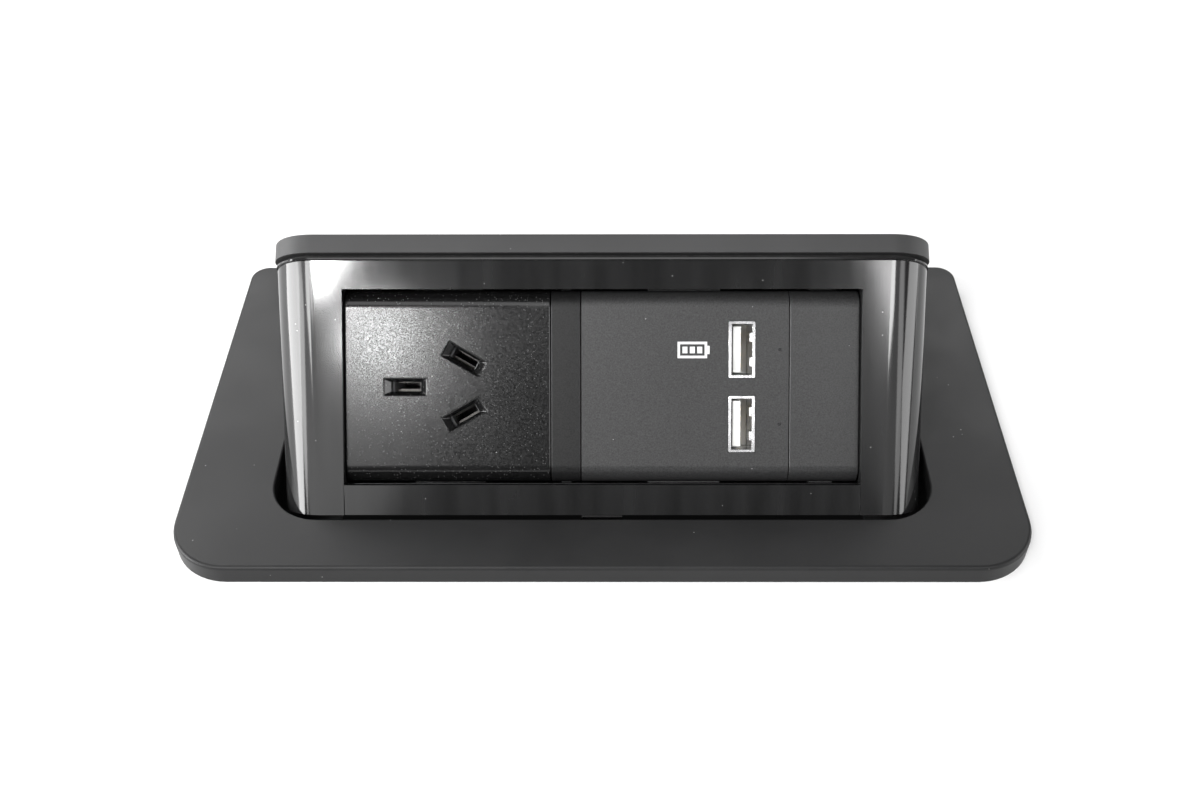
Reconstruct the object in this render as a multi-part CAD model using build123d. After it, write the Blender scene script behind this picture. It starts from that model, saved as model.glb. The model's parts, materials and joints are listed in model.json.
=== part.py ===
from build123d import *
import math
import os

os.makedirs("parts", exist_ok=True)

# Desk plate and its opening
plate_thickness = 5.2
plate_front_radius = 15.0
plate_rear_radius = 5.0
plate_edge_round = 1.0
opening_radius = 12.0
opening_edge_round = 0.5
rim_side = 5.8
rim_end = 3.0
recess_gap = 0.4
recess_depth = 1.0
recess_front_radius = 4.0
recess_rear_radius = 1.0

# Lid and hinge: the hinge line lies this far below the lid's top
opening_angle = 55.0
hinge_drop = 17.9
stop_gap = 0.7
lid_gap = 0.8
lid_thickness = 4.7
lid_edge_round = 0.6
lid_groove = 0.7
lid_nose_angle = 36.0
gasket_inset = 1.6

# Cassette: the box that tips up with the modules in its front
tuck_angle = 13.5
face_setback = 1.0
body_inset = 0.2
draft_angle = 1.5
bottom_rise_angle = 18.5
corner_radius = 11.0
wall = 2.5
lip_height = 0.9
lip_inset = 0.4
column_width = 18.1
window_height = 47.5
window_drop = 8.5
face_foot = 7.35
trim_return = 8.0
trim_seam = 0.15

# Module fronts
module_recess = 2.5
module_fit = 0.2
module_shoulder = 4.4
module_front = 3.5
module_depth = 12.0
module_skirt = 1.4
socket_width = 50.3
spacer_width = 7.4
usb_width = 50.7
blank_width = 17.2
lug_share = 0.35
lug_depth = 2.0
lug_catch = 1.2
block_inset = 3.0
block_depth = 30.0
block_clearance = 0.1

# Socket slots: three flat pins about one centre
earth_reach = 10.31
phase_reach = 7.92
phase_angle = 60.0
slot_length = 7.1
slot_width = 2.5
funnel_length = 10.4
funnel_width = 4.1
funnel_depth = 1.6
leaf_thickness = 0.6
leaf_width = 6.2
leaf_gap = 1.5
leaf_start = 9.0
terminal_size = 6.0
terminal_screw_radius = 1.4
terminal_head_radius = 2.2
terminal_head = 1.6

# USB ports
port_edge = 11.5
port_gap_share = 0.25767
port_room = 1.8
port_height = 14.0
port_width = 6.7
port_shell_height = 13.2
port_shell_width = 5.8
port_shell_wall = 0.35
port_lip = 0.5
port_stand = 0.25
tongue_height = 11.2
tongue_thickness = 1.9
tongue_offset = 1.05
tongue_recess = 2.2
tongue_base = 3.0
pad_width = 1.0
pad_pitch = 2.5
pad_thickness = 0.15
light_edge = 2.3
light_radius = 0.4
light_clearance = 0.05
board_thickness = 1.6
case_wall = 1.5
case_room = 0.4
transformer_width = 14.0
transformer_height = 15.0
transformer_depth = 8.5
transformer_gap = 1.85
capacitor_radius = 4.0
capacitor_depth = 8.0
capacitor_x = 8.0
capacitor_up = 8.0
post_radius = 2.0
finger_width = 2.2
finger_length = 6.0
finger_thickness = 0.3
finger_lift = 0.55
finger_up = 3.0
contact_gap = 4.3

# Frame that the modules clip into
frame_border = 3.0
frame_side_border = 8.0
frame_clearance = 0.4
frame_screw_up = 15.0
frame_thickness = 2.0
frame_depth = 5.5
frame_boss_radius = 2.6
small_screw_radius = 1.3
small_head_radius = 2.4
small_head = 1.5
screw_bite = 2.4
screw_clearance = 0.05

# Rear cover and cable gland
cover_thickness = 2.0
cover_margin = 2.0
cover_half_width = 68.0
cover_ledge = 5.0
gland_x = -32.0
gland_bore = 4.0
gland_thread_radius = 6.0
gland_collar_radius = 7.2
gland_collar = 3.0
gland_dome_radius = 6.2
gland_dome = 6.0
gland_nut_radius = 8.5
gland_nut_height = 3.0

# Hinge
rim_clearance = 0.4
boss_radius = 11.5
boss_reach = 0.3
boss_length = 7.8
pin_radius = 2.5
pin_head_radius = 5.0
pin_head = 2.0
running = 0.05
bush_radius = 4.0
bush_flange_radius = 6.0
bush_flange = 1.0
end_float = 0.3
clip_radius = 4.6
clip_thickness = 0.8
pin_point = 0.8

# Torsion spring on the left pin
spring_wire_radius = 0.45
spring_radius = 5.2
spring_pitch = 1.4
spring_turns = 3
spring_leg = 11.0
spring_clearance = 0.2
peg_radius = 1.2
peg_length = 2.7
peg_reach = 6.0
peg_gap = 0.1

# Gear sector and damper
gear_module = 1.0
sector_teeth = 48
pinion_teeth = 12
pressure_angle = 25.0
addendum = 0.9
dedendum = 1.15
tooth_thinning = 0.06
gear_thickness = 3.0
mesh_angle = -21.0
sector_teeth_ahead = 1
sector_teeth_behind = 9
sector_hub_radius = 10.5
sector_screw_reach = 7.6
shaft_radius = 1.5
damper_radius = 8.5
damper_length = 7.5
damper_ear_reach = 12.0
damper_ear_radius = 3.5
damper_ear_thickness = 2.0
shaft_clearance = 0.4
shaft_length = 4.5
sector_clearance = 0.5

# Housing under the desk
side_room = 6.0
sweep_room = 0.8
housing_wall = 2.5
flange_width = 8.4
flange_front = 3.5
flange_rear = 0.7
flange_thickness = 2.0
flange_screw_shares = (-0.62, 0.16, 0.68)

# Clamps that grip the desk from below
desk_thickness = 25.0
clamp_y = -12.0
clamp_offset = 4.6
clamp_bolt_radius = 2.5
clamp_bolt_length = 40.0
clamp_head_radius = 4.4
clamp_head = 4.0
clamp_width = 12.0
claw_thickness = 2.0
claw_drop = 35.0
claw_strip_offset = 9.0
claw_reach = 27.0
clamp_pad = 1.5
clamp_pad_inset = 1.0
clamp_side_gap = 0.4
clamp_bolt_clearance = 0.2
ear_drop = 34.0
ear_thickness = 6.0
ear_reach = 8.2

# Latch below the closed cassette
latch_setback = 9.0
latch_gap = 0.3
latch_guide = 0.1
latch_floor = 1.5
strike_width = 10.0
strike_depth = 8.0
strike_height = 2.7
plunger_size = 6.0
plunger_length = 14.0
plunger_travel = 4.0
plunger_spare = 0.7
plunger_bore = 2.3
latch_body_width = 22.0
latch_body_depth = 16.0
latch_top_drop = 5.4
plunger_bore_depth = 6.0
bracket_margin = 2.0
bracket_thickness = 1.5
bracket_width = 32.0
bracket_height = 14.0
latch_spring_radius = 1.6
latch_spring_wire = 0.3
latch_spring_pitch = 1.5

# One overrun serves all cuts
overrun = 10.0


# Places that follow from the sizes above
def degrees_sin(angle):
    return math.sin(math.radians(angle))


def degrees_cos(angle):
    return math.cos(math.radians(angle))


top_z = plate_thickness
window_width = socket_width + spacer_width + usb_width + blank_width
lid_half = window_width / 2 + column_width
opening_width = 2 * (lid_half + lid_gap)

# The lid reaches so far from the hinge that its front edge and the face's foot turn on one radius
face_length = window_drop + window_height + face_foot
foot_run = face_setback + face_length * degrees_sin(tuck_angle)
foot_drop = face_length * degrees_cos(tuck_angle) - (hinge_drop - lid_thickness)
lid_reach = (foot_run**2 + foot_drop**2 - hinge_drop**2) / (2 * foot_run)
sweep_radius = math.hypot(lid_reach, hinge_drop)
stop_room = stop_gap / degrees_sin(opening_angle)
hinge_inset = hinge_drop * math.tan(math.radians(opening_angle / 2)) + stop_room
opening_depth = lid_gap + lid_reach + hinge_inset
opening_front = -opening_depth / 2
opening_rear = opening_depth / 2
lid_front = opening_front + lid_gap
hinge_y = opening_rear - hinge_inset
hinge_z = top_z - hinge_drop
body_top = top_z - lid_thickness - lid_groove
body_round = hinge_drop - lid_thickness - lid_groove

# The face leaves the lid's underside and runs down to the lid's own sweep
face_top_y = lid_front + face_setback
face_top_z = top_z - lid_thickness
face_down_y = degrees_sin(tuck_angle)
face_down_z = -degrees_cos(tuck_angle)
face_bottom_y = face_top_y + face_length * face_down_y
face_bottom_z = face_top_z + face_length * face_down_z
window_from_top = window_drop + window_height / 2
face_plane = Plane(
    origin=(0, face_top_y + window_from_top * face_down_y, face_top_z + window_from_top * face_down_z),
    x_dir=(1, 0, 0),
    z_dir=(0, -degrees_cos(tuck_angle), -degrees_sin(tuck_angle)),
)
face_top_up = window_from_top
face_bottom_up = window_from_top - face_length
hinge_axis = Axis((0, hinge_y, hinge_z), (1, 0, 0))

# The rear wall is the tangent to the nose that faces straight down when the cassette is up
nose_y = hinge_y + body_round * degrees_sin(opening_angle)
nose_z = hinge_z - body_round * degrees_cos(opening_angle)
rise_y = degrees_cos(bottom_rise_angle)
rise_z = degrees_sin(bottom_rise_angle)
slope_y = degrees_cos(opening_angle)
slope_z = degrees_sin(opening_angle)
heel_cross = rise_y * slope_z - rise_z * slope_y
heel_run = ((nose_y - face_bottom_y) * slope_z - (nose_z - face_bottom_z) * slope_y) / heel_cross
heel_y = face_bottom_y + heel_run * rise_y
heel_z = face_bottom_z + heel_run * rise_z
rear_wall_length = math.hypot(nose_y - heel_y, nose_z - heel_z)
rear_plane = Plane(
    origin=(0, (nose_y + heel_y) / 2, (nose_z + heel_z) / 2),
    x_dir=(1, 0, 0),
    z_dir=(0, degrees_sin(opening_angle), -degrees_cos(opening_angle)),
)

# Modules from left to right across the window
socket_x = -window_width / 2 + socket_width / 2
spacer_x = socket_x + (socket_width + spacer_width) / 2
usb_x = spacer_x + (spacer_width + usb_width) / 2
blank_x = window_width / 2 - blank_width / 2
module_height = window_height - 2 * module_fit
block_front = module_recess + module_front + block_clearance

# The ports share the charger's height, and its block holds them, its board and its transformer
port_x = usb_width / 2 - port_edge
light_x = usb_width / 2 - light_edge
port_free = module_height - 2 * module_skirt - 2 * port_height
port_spacing = port_height + port_gap_share * port_free
block_height = port_spacing + port_shell_height + 2 * (port_room + case_wall)
board_depth = block_depth - case_wall - case_room - transformer_depth - board_thickness
case_half = usb_width / 2 - block_inset - case_wall
transformer_x = transformer_gap + transformer_width / 2 - case_half

# Side limits
boss_x = lid_half + boss_reach
housing_half = lid_half + side_room
housing_front = hinge_y - sweep_radius - sweep_room
housing_rear = hinge_y + hinge_drop + sweep_room
latch_room = latch_gap + plunger_length + plunger_travel + plunger_spare + latch_floor + bracket_thickness
housing_bottom = face_bottom_z - latch_room
flange_low = recess_depth - flange_thickness
wall_x = housing_half + housing_wall
wall_front = housing_front - housing_wall
wall_rear = housing_rear + housing_wall
flange_x = wall_x + flange_width
clamp_x = wall_x + clamp_offset

# The plate follows the flange in its recess, and lies evenly about the opening
recess_x = flange_x + recess_gap
recess_y = wall_rear + flange_rear + recess_gap
plate_width = 2 * (recess_x + rim_side)
plate_depth = 2 * (recess_y + rim_end)


def box(x0, x1, y0, y1, z0, z1):
    """A block between six limits."""
    return Pos((x0 + x1) / 2, (y0 + y1) / 2, (z0 + z1) / 2) * Box(x1 - x0, y1 - y0, z1 - z0)


def rod_z(radius, z0, z1, x, y):
    """An upright rod."""
    return Pos(x, y, (z0 + z1) / 2) * Cylinder(radius, z1 - z0)


def rod_x(radius, x0, x1, y, z):
    """A rod along the hinge's direction."""
    return Pos((x0 + x1) / 2, y, z) * Rot(0, 90, 0) * Cylinder(radius, x1 - x0)


def raised(shape):
    """From the folded place to the raised one, which is the rest pose."""
    return shape.rotate(hinge_axis, -opening_angle)


def fronted(shape):
    """From the face's frame (x, up the face, out of it) to the raised place."""
    return raised(shape.moved(face_plane.location))


def backed(shape):
    """From the rear wall's frame, whose third axis points out of the wall, to the raised place."""
    return raised(shape.moved(rear_plane.location))


def write(shape, name):
    """Writes one sub-part; a list of solids goes in as one group."""
    if isinstance(shape, list):
        shape = Compound(shape)
    export_step(shape, "parts/" + name + ".step")


def screw(shank_radius, shank_length, head_radius, head_height):
    """A screw with its seat at zero, its shank upward and a crosswise slot in its head."""
    body = rod_z(shank_radius, 0, shank_length, 0, 0) + rod_z(head_radius, -head_height, 0, 0, 0)
    slot_half = head_height / 4
    slot = box(-head_radius, head_radius, -slot_half, slot_half, -head_height, -head_height / 2)
    return body - slot


# Shared shapes
def rounded_block(half_width, front, rear, bottom, top, front_radius, rear_radius):
    """A block whose upright edges are rounded, with one radius at the front and one at the rear."""
    block = box(-half_width, half_width, front, rear, bottom, top)
    block = fillet(block.edges().filter_by(Axis.Z).group_by(Axis.Y)[0], front_radius)
    straight = block.edges().filter_by(Axis.Z).group_by(Axis.Y)[-1]
    return fillet(straight, rear_radius)


def meet(point_a, way_a, point_b, way_b):
    """Where two lines in the side view cross."""
    cross = way_a[0] * way_b[1] - way_a[1] * way_b[0]
    along = ((point_b[0] - point_a[0]) * way_b[1] - (point_b[1] - point_a[1]) * way_b[0]) / cross
    return (point_a[0] + along * way_a[0], point_a[1] + along * way_a[1])


def about_hinge(radius, angle):
    """A point in the side view, at an angle from straight up towards the rear."""
    return (hinge_y + radius * degrees_sin(angle), hinge_z + radius * degrees_cos(angle))


def side_outline(points, arc_radius, angle_a, angle_b):
    """A side-view outline whose last corner is an arc about the hinge, from one angle to another."""
    spots = [Vector(0, y, z) for y, z in points]
    start = Vector(0, *about_hinge(arc_radius, angle_a))
    middle = Vector(0, *about_hinge(arc_radius, (angle_a + angle_b) / 2))
    end = Vector(0, *about_hinge(arc_radius, angle_b))
    edges = [Line(a, b) for a, b in zip(spots, spots[1:])]
    return edges + [Line(spots[-1], start), ThreePointArc(start, middle, end), Line(end, spots[0])]


# Desk plate
def desk_plate():
    """The flange, relieved where the lid and the cassette sweep past, and recessed below for the housing."""
    plate = rounded_block(
        plate_width / 2, -plate_depth / 2, plate_depth / 2, 0, top_z, plate_front_radius, plate_rear_radius
    )
    plate = fillet(plate.edges().group_by(Axis.Z)[-1], plate_edge_round)
    plate -= rounded_block(
        opening_width / 2, opening_front, opening_rear, 0, top_z, opening_radius, opening_radius / 4
    )
    near_x = opening_width / 2 + lid_gap
    inner = plate.edges().group_by(Axis.Z)[-1].filter_by(
        lambda edge: abs(edge.center().X) < near_x
        and opening_front - lid_gap < edge.center().Y < opening_rear + lid_gap
    )
    plate = fillet(inner, opening_edge_round)
    straight = opening_width / 2 - opening_radius
    front_room = box(-straight, straight, -plate_depth / 2, 0, 0, top_z)
    plate -= rod_x(sweep_radius + rim_clearance, -straight, straight, hinge_y, hinge_z) & front_room
    half = opening_width / 2
    relief = box(-half, half, -2 * plate_thickness, 2 * plate_thickness, -2 * plate_thickness, 0)
    plate -= Pos(0, opening_rear, top_z) * Rot(-opening_angle, 0, 0) * relief
    plate -= rounded_block(
        recess_x, -recess_y, recess_y, 0, recess_depth, recess_front_radius, recess_rear_radius
    )
    hole_top = recess_depth + screw_bite + screw_clearance
    for x, y in flange_screw_places():
        plate -= rod_z(small_screw_radius + screw_clearance, recess_depth, hole_top, x, y)
    return plate


def flange_screw_places():
    """Places of the screws that hang the housing from the plate."""
    x = wall_x + flange_width / 2
    return [(side * x, share * plate_depth / 2) for side in (-1, 1) for share in flange_screw_shares]


# Lid
def lid():
    """Flat from its front edge to above the hinge, then a nose that turns about the hinge."""
    under = top_z - lid_thickness
    points_out = about_hinge(hinge_drop, 0), about_hinge(hinge_drop, lid_nose_angle)
    inner_radius = hinge_drop - lid_thickness
    points_in = about_hinge(inner_radius, lid_nose_angle), about_hinge(inner_radius, 0)
    outer_middle = about_hinge(hinge_drop, lid_nose_angle / 2)
    inner_middle = about_hinge(hinge_drop - lid_thickness, lid_nose_angle / 2)
    front_top = Vector(0, lid_front, top_z)
    front_under = Vector(0, lid_front, under)
    outer_start, outer_end = (Vector(0, *point) for point in points_out)
    inner_start, inner_end = (Vector(0, *point) for point in points_in)
    outline = [
        Line(front_top, outer_start),
        ThreePointArc(outer_start, Vector(0, *outer_middle), outer_end),
        Line(outer_end, inner_start),
        ThreePointArc(inner_start, Vector(0, *inner_middle), inner_end),
        Line(inner_end, front_under),
        Line(front_under, front_top),
    ]
    plate = extrude(make_face(outline), amount=lid_half, dir=(1, 0, 0), both=True)
    plate = fillet(plate.edges().filter_by(Axis.Z).group_by(Axis.Y)[0], corner_radius)
    top = plate.edges().group_by(Axis.Z)[-1].filter_by(lambda edge: edge.center().Y < hinge_y - lid_gap)
    plate = fillet(top, lid_edge_round)
    for x, y in lid_screw_places():
        plate -= rod_z(
            small_screw_radius + screw_clearance, under, under + screw_bite + screw_clearance, x, y
        )
    return raised(plate)


def lid_screw_places():
    """Places of the screws that hold the lid from inside the cassette."""
    x = lid_half - 2 * corner_radius
    near = lid_front + 2 * corner_radius
    far = hinge_y - boss_radius
    return [(side * x, y) for side in (-1, 1) for y in (near, far)]


def lid_gasket():
    """The thin band that fills the groove between lid and cassette."""
    front = lid_front + face_setback + gasket_inset
    under = top_z - lid_thickness
    band = box(-lid_half + gasket_inset, lid_half - gasket_inset, front, hinge_y, body_top, under)
    band = fillet(band.edges().filter_by(Axis.Z).group_by(Axis.Y)[0], corner_radius - gasket_inset)
    for x, y in lid_screw_places():
        band -= rod_z(small_screw_radius + screw_clearance, body_top, under, x, y)
    return raised(band)


def lid_screws():
    """Screws up through the cassette's roof into the lid."""
    length = wall + lid_groove + screw_bite
    one = screw(small_screw_radius, length, small_head_radius, small_head)
    return [raised(Pos(x, y, body_top - wall) * one) for x, y in lid_screw_places()]


# Cassette shell
def cassette_block(inset):
    """The cassette's envelope in the face's frame, all its walls moved inward by one amount."""
    roof = body_top - inset
    radius = body_round - inset
    face_in = (degrees_cos(tuck_angle), degrees_sin(tuck_angle))
    face_point = (face_top_y + inset * face_in[0], face_top_z + inset * face_in[1])
    face_way = (face_down_y, face_down_z)
    floor_point = (face_bottom_y - inset * rise_z, face_bottom_z + inset * rise_y)
    nose = about_hinge(radius, 180 - opening_angle)
    front_top = meet(face_point, face_way, (0, roof), (1, 0))
    front_bottom = meet(face_point, face_way, floor_point, (rise_y, rise_z))
    heel = meet(floor_point, (rise_y, rise_z), nose, (slope_y, slope_z))
    edges = side_outline((front_top, front_bottom, heel), radius, 180 - opening_angle, 0)
    block = extrude(make_face(edges), amount=lid_half, dir=(1, 0, 0), both=True)
    block = block.moved(face_plane.location.inverse())
    half_top = lid_half - body_inset - inset
    half_bottom = half_top - (face_top_up - face_bottom_up) * math.tan(math.radians(draft_angle))
    spread = (half_top - half_bottom) * overrun / (face_top_up - face_bottom_up)
    high, low = face_top_up + overrun, face_bottom_up - overrun
    sides = Polyline(
        (-half_top - spread, high),
        (half_top + spread, high),
        (half_bottom - spread, low),
        (-half_bottom + spread, low),
        close=True,
    )
    block = block & extrude(make_face(sides), amount=sweep_radius + hinge_drop, both=True)
    upright = block.edges().filter_by(
        lambda edge: abs(edge.center().Z + inset) < plate_thickness / 100
        and abs(edge.center().X) > half_bottom / 2
    )
    return fillet(upright, corner_radius - inset)


def lip_block():
    """The thin ledge round the cassette's top, in the face's frame."""
    ledge = box(
        -lid_half + lip_inset, lid_half - lip_inset, lid_front + lip_inset,
        hinge_y, body_top - lip_height, body_top,
    )
    ledge = fillet(ledge.edges().filter_by(Axis.Z).group_by(Axis.Y)[0], corner_radius - lip_inset)
    return ledge.moved(face_plane.location.inverse())


def folded_to_face(shape):
    """From the folded place to the face's frame."""
    return shape.moved(face_plane.location.inverse())


def trim_room(side_gap):
    """The room of the bar under the window, in the face's frame."""
    half = window_width / 2 - side_gap
    return box(-half, half, face_bottom_up - overrun, -window_height / 2, -trim_return + side_gap, overrun)


def frame_screw_places():
    """Places of the four screws of the mounting frame, in the face's frame."""
    x = window_width / 2 + frame_side_border / 2 + frame_clearance
    return [(side * x, rise * frame_screw_up) for side in (-1, 1) for rise in (-1, 1)]


def cover_screw_places():
    """Places of the rear cover's screws, in the rear wall's frame."""
    x = cover_half_width - cover_ledge / 2
    y = rear_wall_length / 2 - cover_margin - cover_ledge / 2
    return [(side * x, rise * y) for side in (-1, 1) for rise in (-1, 1)]


def cassette_shell():
    """Front frame, sides, roof and floor in one moulding, with its hinge bosses."""
    cavity = cassette_block(wall)
    shell = cassette_block(0) + lip_block()
    shell -= cavity
    for side in (-1, 1):
        ends = sorted((side * (boss_x - boss_length), side * boss_x))
        boss = rod_x(boss_radius, *ends, hinge_y, hinge_z)
        bore = rod_x(bush_radius + running, *ends, hinge_y, hinge_z)
        shell = shell + folded_to_face(boss) - folded_to_face(bore)
    shell -= box(
        -window_width / 2, window_width / 2, -window_height / 2, window_height / 2, -2 * wall, overrun
    )
    shell -= trim_room(0)
    for x, up in frame_screw_places():
        shell += rod_z(frame_boss_radius, -frame_depth, -wall / 2, x, up)
        shell -= rod_z(small_screw_radius + screw_clearance, -frame_depth, -wall / 2 - screw_clearance, x, up)
    for x, y in lid_screw_places():
        hole = rod_z(small_screw_radius + screw_clearance, body_top - wall, body_top, x, y)
        shell -= folded_to_face(hole)
    half_x = cover_half_width - cover_ledge
    half_y = rear_wall_length / 2 - cover_margin - cover_ledge
    hatch = box(-half_x, half_x, -half_y, half_y, -2 * wall, wall)
    for x, y in cover_screw_places():
        hatch += rod_z(small_screw_radius + screw_clearance, -screw_bite - screw_clearance, 0, x, y)
    shell -= folded_to_face(hatch.moved(rear_plane.location))
    for y, z in sector_screw_places():
        start = boss_x - screw_bite - screw_clearance
        hole = rod_x(small_screw_radius + screw_clearance, start, boss_x, y, z)
        shell -= folded_to_face(folded(hole))
    peg = rod_x(peg_radius, -boss_x - peg_length, -boss_x + peg_gap, hinge_y - peg_reach, peg_z())
    shell += folded_to_face(folded(peg))
    return fronted(shell)


def folded(shape):
    """From the raised place to the folded one."""
    return shape.rotate(hinge_axis, opening_angle)


def peg_z():
    """Height of the spring's two pegs: just above its legs."""
    return hinge_z + spring_radius + spring_wire_radius + peg_gap + peg_radius


def lower_trim():
    """The bar under the window, with its return under the cassette."""
    bar = (cassette_block(0) - cassette_block(wall)) & trim_room(trim_seam)
    return fronted(bar)


def rear_cover():
    """The plate that closes the back of the cassette and carries the cable gland."""
    half_y = rear_wall_length / 2 - cover_margin
    plate = box(-cover_half_width, cover_half_width, -half_y, half_y, 0, cover_thickness)
    plate -= rod_z(gland_thread_radius + screw_clearance, 0, cover_thickness, gland_x, 0)
    for x, y in cover_screw_places():
        plate -= rod_z(small_screw_radius + screw_clearance, 0, cover_thickness, x, y)
    return backed(plate)


def rear_cover_screws():
    """Screws through the rear cover into the cassette's wall."""
    one = Rot(180, 0, 0) * screw(
        small_screw_radius, cover_thickness + screw_bite, small_head_radius, small_head
    )
    return [backed(Pos(x, y, cover_thickness) * one) for x, y in cover_screw_places()]


def cable_gland():
    """A threaded body, a six-sided collar and a domed cap, bored for the flexible cord."""
    inside = -gland_nut_height - cover_thickness
    collar_top = cover_thickness + gland_collar
    body = rod_z(gland_thread_radius, inside, cover_thickness, gland_x, 0)
    collar = Pos(gland_x, 0, cover_thickness) * extrude(RegularPolygon(gland_collar_radius, 6), gland_collar)
    dome = rod_z(gland_dome_radius, collar_top, collar_top + gland_dome, gland_x, 0)
    dome = fillet(dome.edges().group_by(Axis.Z)[-1], (gland_dome_radius - gland_bore) / 2)
    body = body + collar + dome
    return backed(body - rod_z(gland_bore, inside, collar_top + gland_dome, gland_x, 0))


def gland_nut():
    """The nut that holds the gland from inside."""
    nut = Pos(gland_x, 0, -gland_nut_height) * extrude(RegularPolygon(gland_nut_radius, 6), gland_nut_height)
    return backed(nut - rod_z(gland_thread_radius + screw_clearance, -gland_nut_height, 0, gland_x, 0))


# Modules in the window
def module_cap(x, width):
    """One module front: a hollow cap with rolled top and bottom edges and two catches."""
    half = width / 2 - module_fit / 2
    high = module_height / 2
    cap = box(x - half, x + half, -high, high, -module_depth, -module_recess)
    cap = fillet(cap.edges().filter_by(Axis.X).group_by(Axis.Z)[-1], module_shoulder)
    back = -module_recess - module_front
    cap -= box(
        x - half + module_skirt, x + half - module_skirt, -high + module_skirt,
        high - module_skirt, -module_depth, back,
    )
    lug_half = width * lug_share / 2
    lug_front = -frame_depth - frame_thickness - block_clearance
    for side in (-1, 1):
        limits = sorted((side * (high - module_skirt), side * (high + lug_catch)))
        cap += box(x - lug_half, x + lug_half, *limits, lug_front - lug_depth, lug_front)
    return cap


def slot_places():
    """The three slots, each as its x, its height and the turn of its long side."""
    phase_in = phase_reach * degrees_cos(phase_angle)
    phase_up = phase_reach * degrees_sin(phase_angle)
    return {
        "earth_contact": (socket_x - earth_reach, 0, 0),
        "active_contact": (socket_x + phase_in, phase_up, phase_angle - 90),
        "neutral_contact": (socket_x + phase_in, -phase_up, 90 - phase_angle),
    }


def socket_face():
    """The socket's front, with a funnel leading into each slot."""
    cap = module_cap(socket_x, socket_width)
    front = -module_recess
    mouth = Pos(0, 0, front) * Rectangle(funnel_length, funnel_width)
    throat = Pos(0, 0, front - funnel_depth) * Rectangle(slot_length, slot_width)
    funnel = loft([mouth.face(), throat.face()], ruled=True)
    slot = box(
        -slot_length / 2, slot_length / 2, -slot_width / 2, slot_width / 2, front - module_front, front
    )
    for x, up, turn in slot_places().values():
        cap -= Pos(x, up) * Rot(0, 0, turn) * (funnel + slot)
    return fronted(cap)


def socket_base():
    """The block behind the socket's front, with a pocket for each contact."""
    half = socket_width / 2 - block_inset
    block = box(
        socket_x - half, socket_x + half, -block_height / 2, block_height / 2, -block_depth, -block_front
    )
    pocket_x = leaf_width / 2 + block_clearance
    pocket_y = terminal_size / 2 + block_clearance
    pocket = box(-pocket_x, pocket_x, -pocket_y, pocket_y, -block_depth, -block_front)
    for x, up, turn in slot_places().values():
        block -= Pos(x, up) * Rot(0, 0, turn) * pocket
    return fronted(block)


def socket_contact(place):
    """Two spring leaves on a terminal block, in one slot."""
    x, up, turn = place
    back = -block_depth
    leaf_foot = back + terminal_size
    inner = leaf_gap / 2
    contact = box(
        -terminal_size / 2, terminal_size / 2, -terminal_size / 2, terminal_size / 2, back, leaf_foot
    )
    contact -= rod_z(terminal_screw_radius + screw_clearance, back, back + terminal_size * 2 / 3, 0, 0)
    for side in (-1, 1):
        limits = sorted((side * inner, side * (inner + leaf_thickness)))
        contact += box(-leaf_width / 2, leaf_width / 2, *limits, leaf_foot, -leaf_start)
    return fronted(Pos(x, up) * Rot(0, 0, turn) * contact)


def terminal_screws():
    """One clamping screw behind each contact."""
    one = screw(terminal_screw_radius, terminal_size / 2, terminal_head_radius, terminal_head)
    return [fronted(Pos(x, up, -block_depth) * one) for x, up, _ in slot_places().values()]


def port_places():
    """Centre heights of the upper and the lower port, by name."""
    return {"upper": port_spacing / 2, "lower": -port_spacing / 2}


def usb_face():
    """The charger's front, with two port mouths and two pin holes."""
    cap = module_cap(usb_x, usb_width)
    x = usb_x + port_x
    back = -module_recess - module_front
    for up in port_places().values():
        cap -= box(
            x - port_width / 2, x + port_width / 2, up - port_height / 2, up + port_height / 2, back, 0
        )
        cap -= rod_z(light_radius, back, 0, usb_x + light_x, up)
    return fronted(cap)


def usb_shell(up):
    """A port's folded metal shell, with a lip at its mouth and two spring fingers."""
    x = usb_x + port_x
    front = -module_recess - port_stand
    half_x, half_up = port_shell_width / 2, port_shell_height / 2
    lip_x = port_width / 2 - block_clearance
    lip_up = port_height / 2 - block_clearance
    tube = box(x - half_x, x + half_x, up - half_up, up + half_up, -board_depth, front)
    tube += box(x - lip_x, x + lip_x, up - lip_up, up + lip_up, front - port_lip, front)
    tube = fillet(tube.edges().filter_by(Axis.Z), port_shell_wall)
    in_x, in_up = half_x - port_shell_wall, half_up - port_shell_wall
    tube -= box(x - in_x, x + in_x, up - in_up, up + in_up, -board_depth, front)
    start = front - 2 * port_lip
    for side in (-1, 1):
        middle = up + side * finger_up
        tube += box(
            x + in_x - finger_lift,
            x + in_x,
            middle - finger_width / 2,
            middle + finger_width / 2,
            start - finger_length,
            start,
        )
    return fronted(tube)


def usb_tongue(up):
    """The moulded tongue inside a port, on a base that fills the back of the shell."""
    middle = usb_x + port_x
    x = middle - tongue_offset
    half = tongue_thickness / 2
    front = -module_recess - tongue_recess
    tongue = box(x - half, x + half, up - tongue_height / 2, up + tongue_height / 2, -board_depth, front)
    base_x = port_shell_width / 2 - port_shell_wall - block_clearance
    base_up = port_shell_height / 2 - port_shell_wall - block_clearance
    base_front = tongue_base - board_depth
    tongue += box(middle - base_x, middle + base_x, up - base_up, up + base_up, -board_depth, base_front)
    return fronted(tongue)


def usb_contacts(up):
    """Four flat contacts on the open side of a tongue."""
    x = usb_x + port_x - tongue_offset + tongue_thickness / 2
    front = -module_recess - tongue_recess - pad_width
    back = contact_gap - board_depth
    strips = []
    for place in range(4):
        middle = up + (place - 1.5) * pad_pitch
        strip = box(x, x + pad_thickness, middle - pad_width / 2, middle + pad_width / 2, back, front)
        strips.append(fronted(strip))
    return strips


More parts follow.
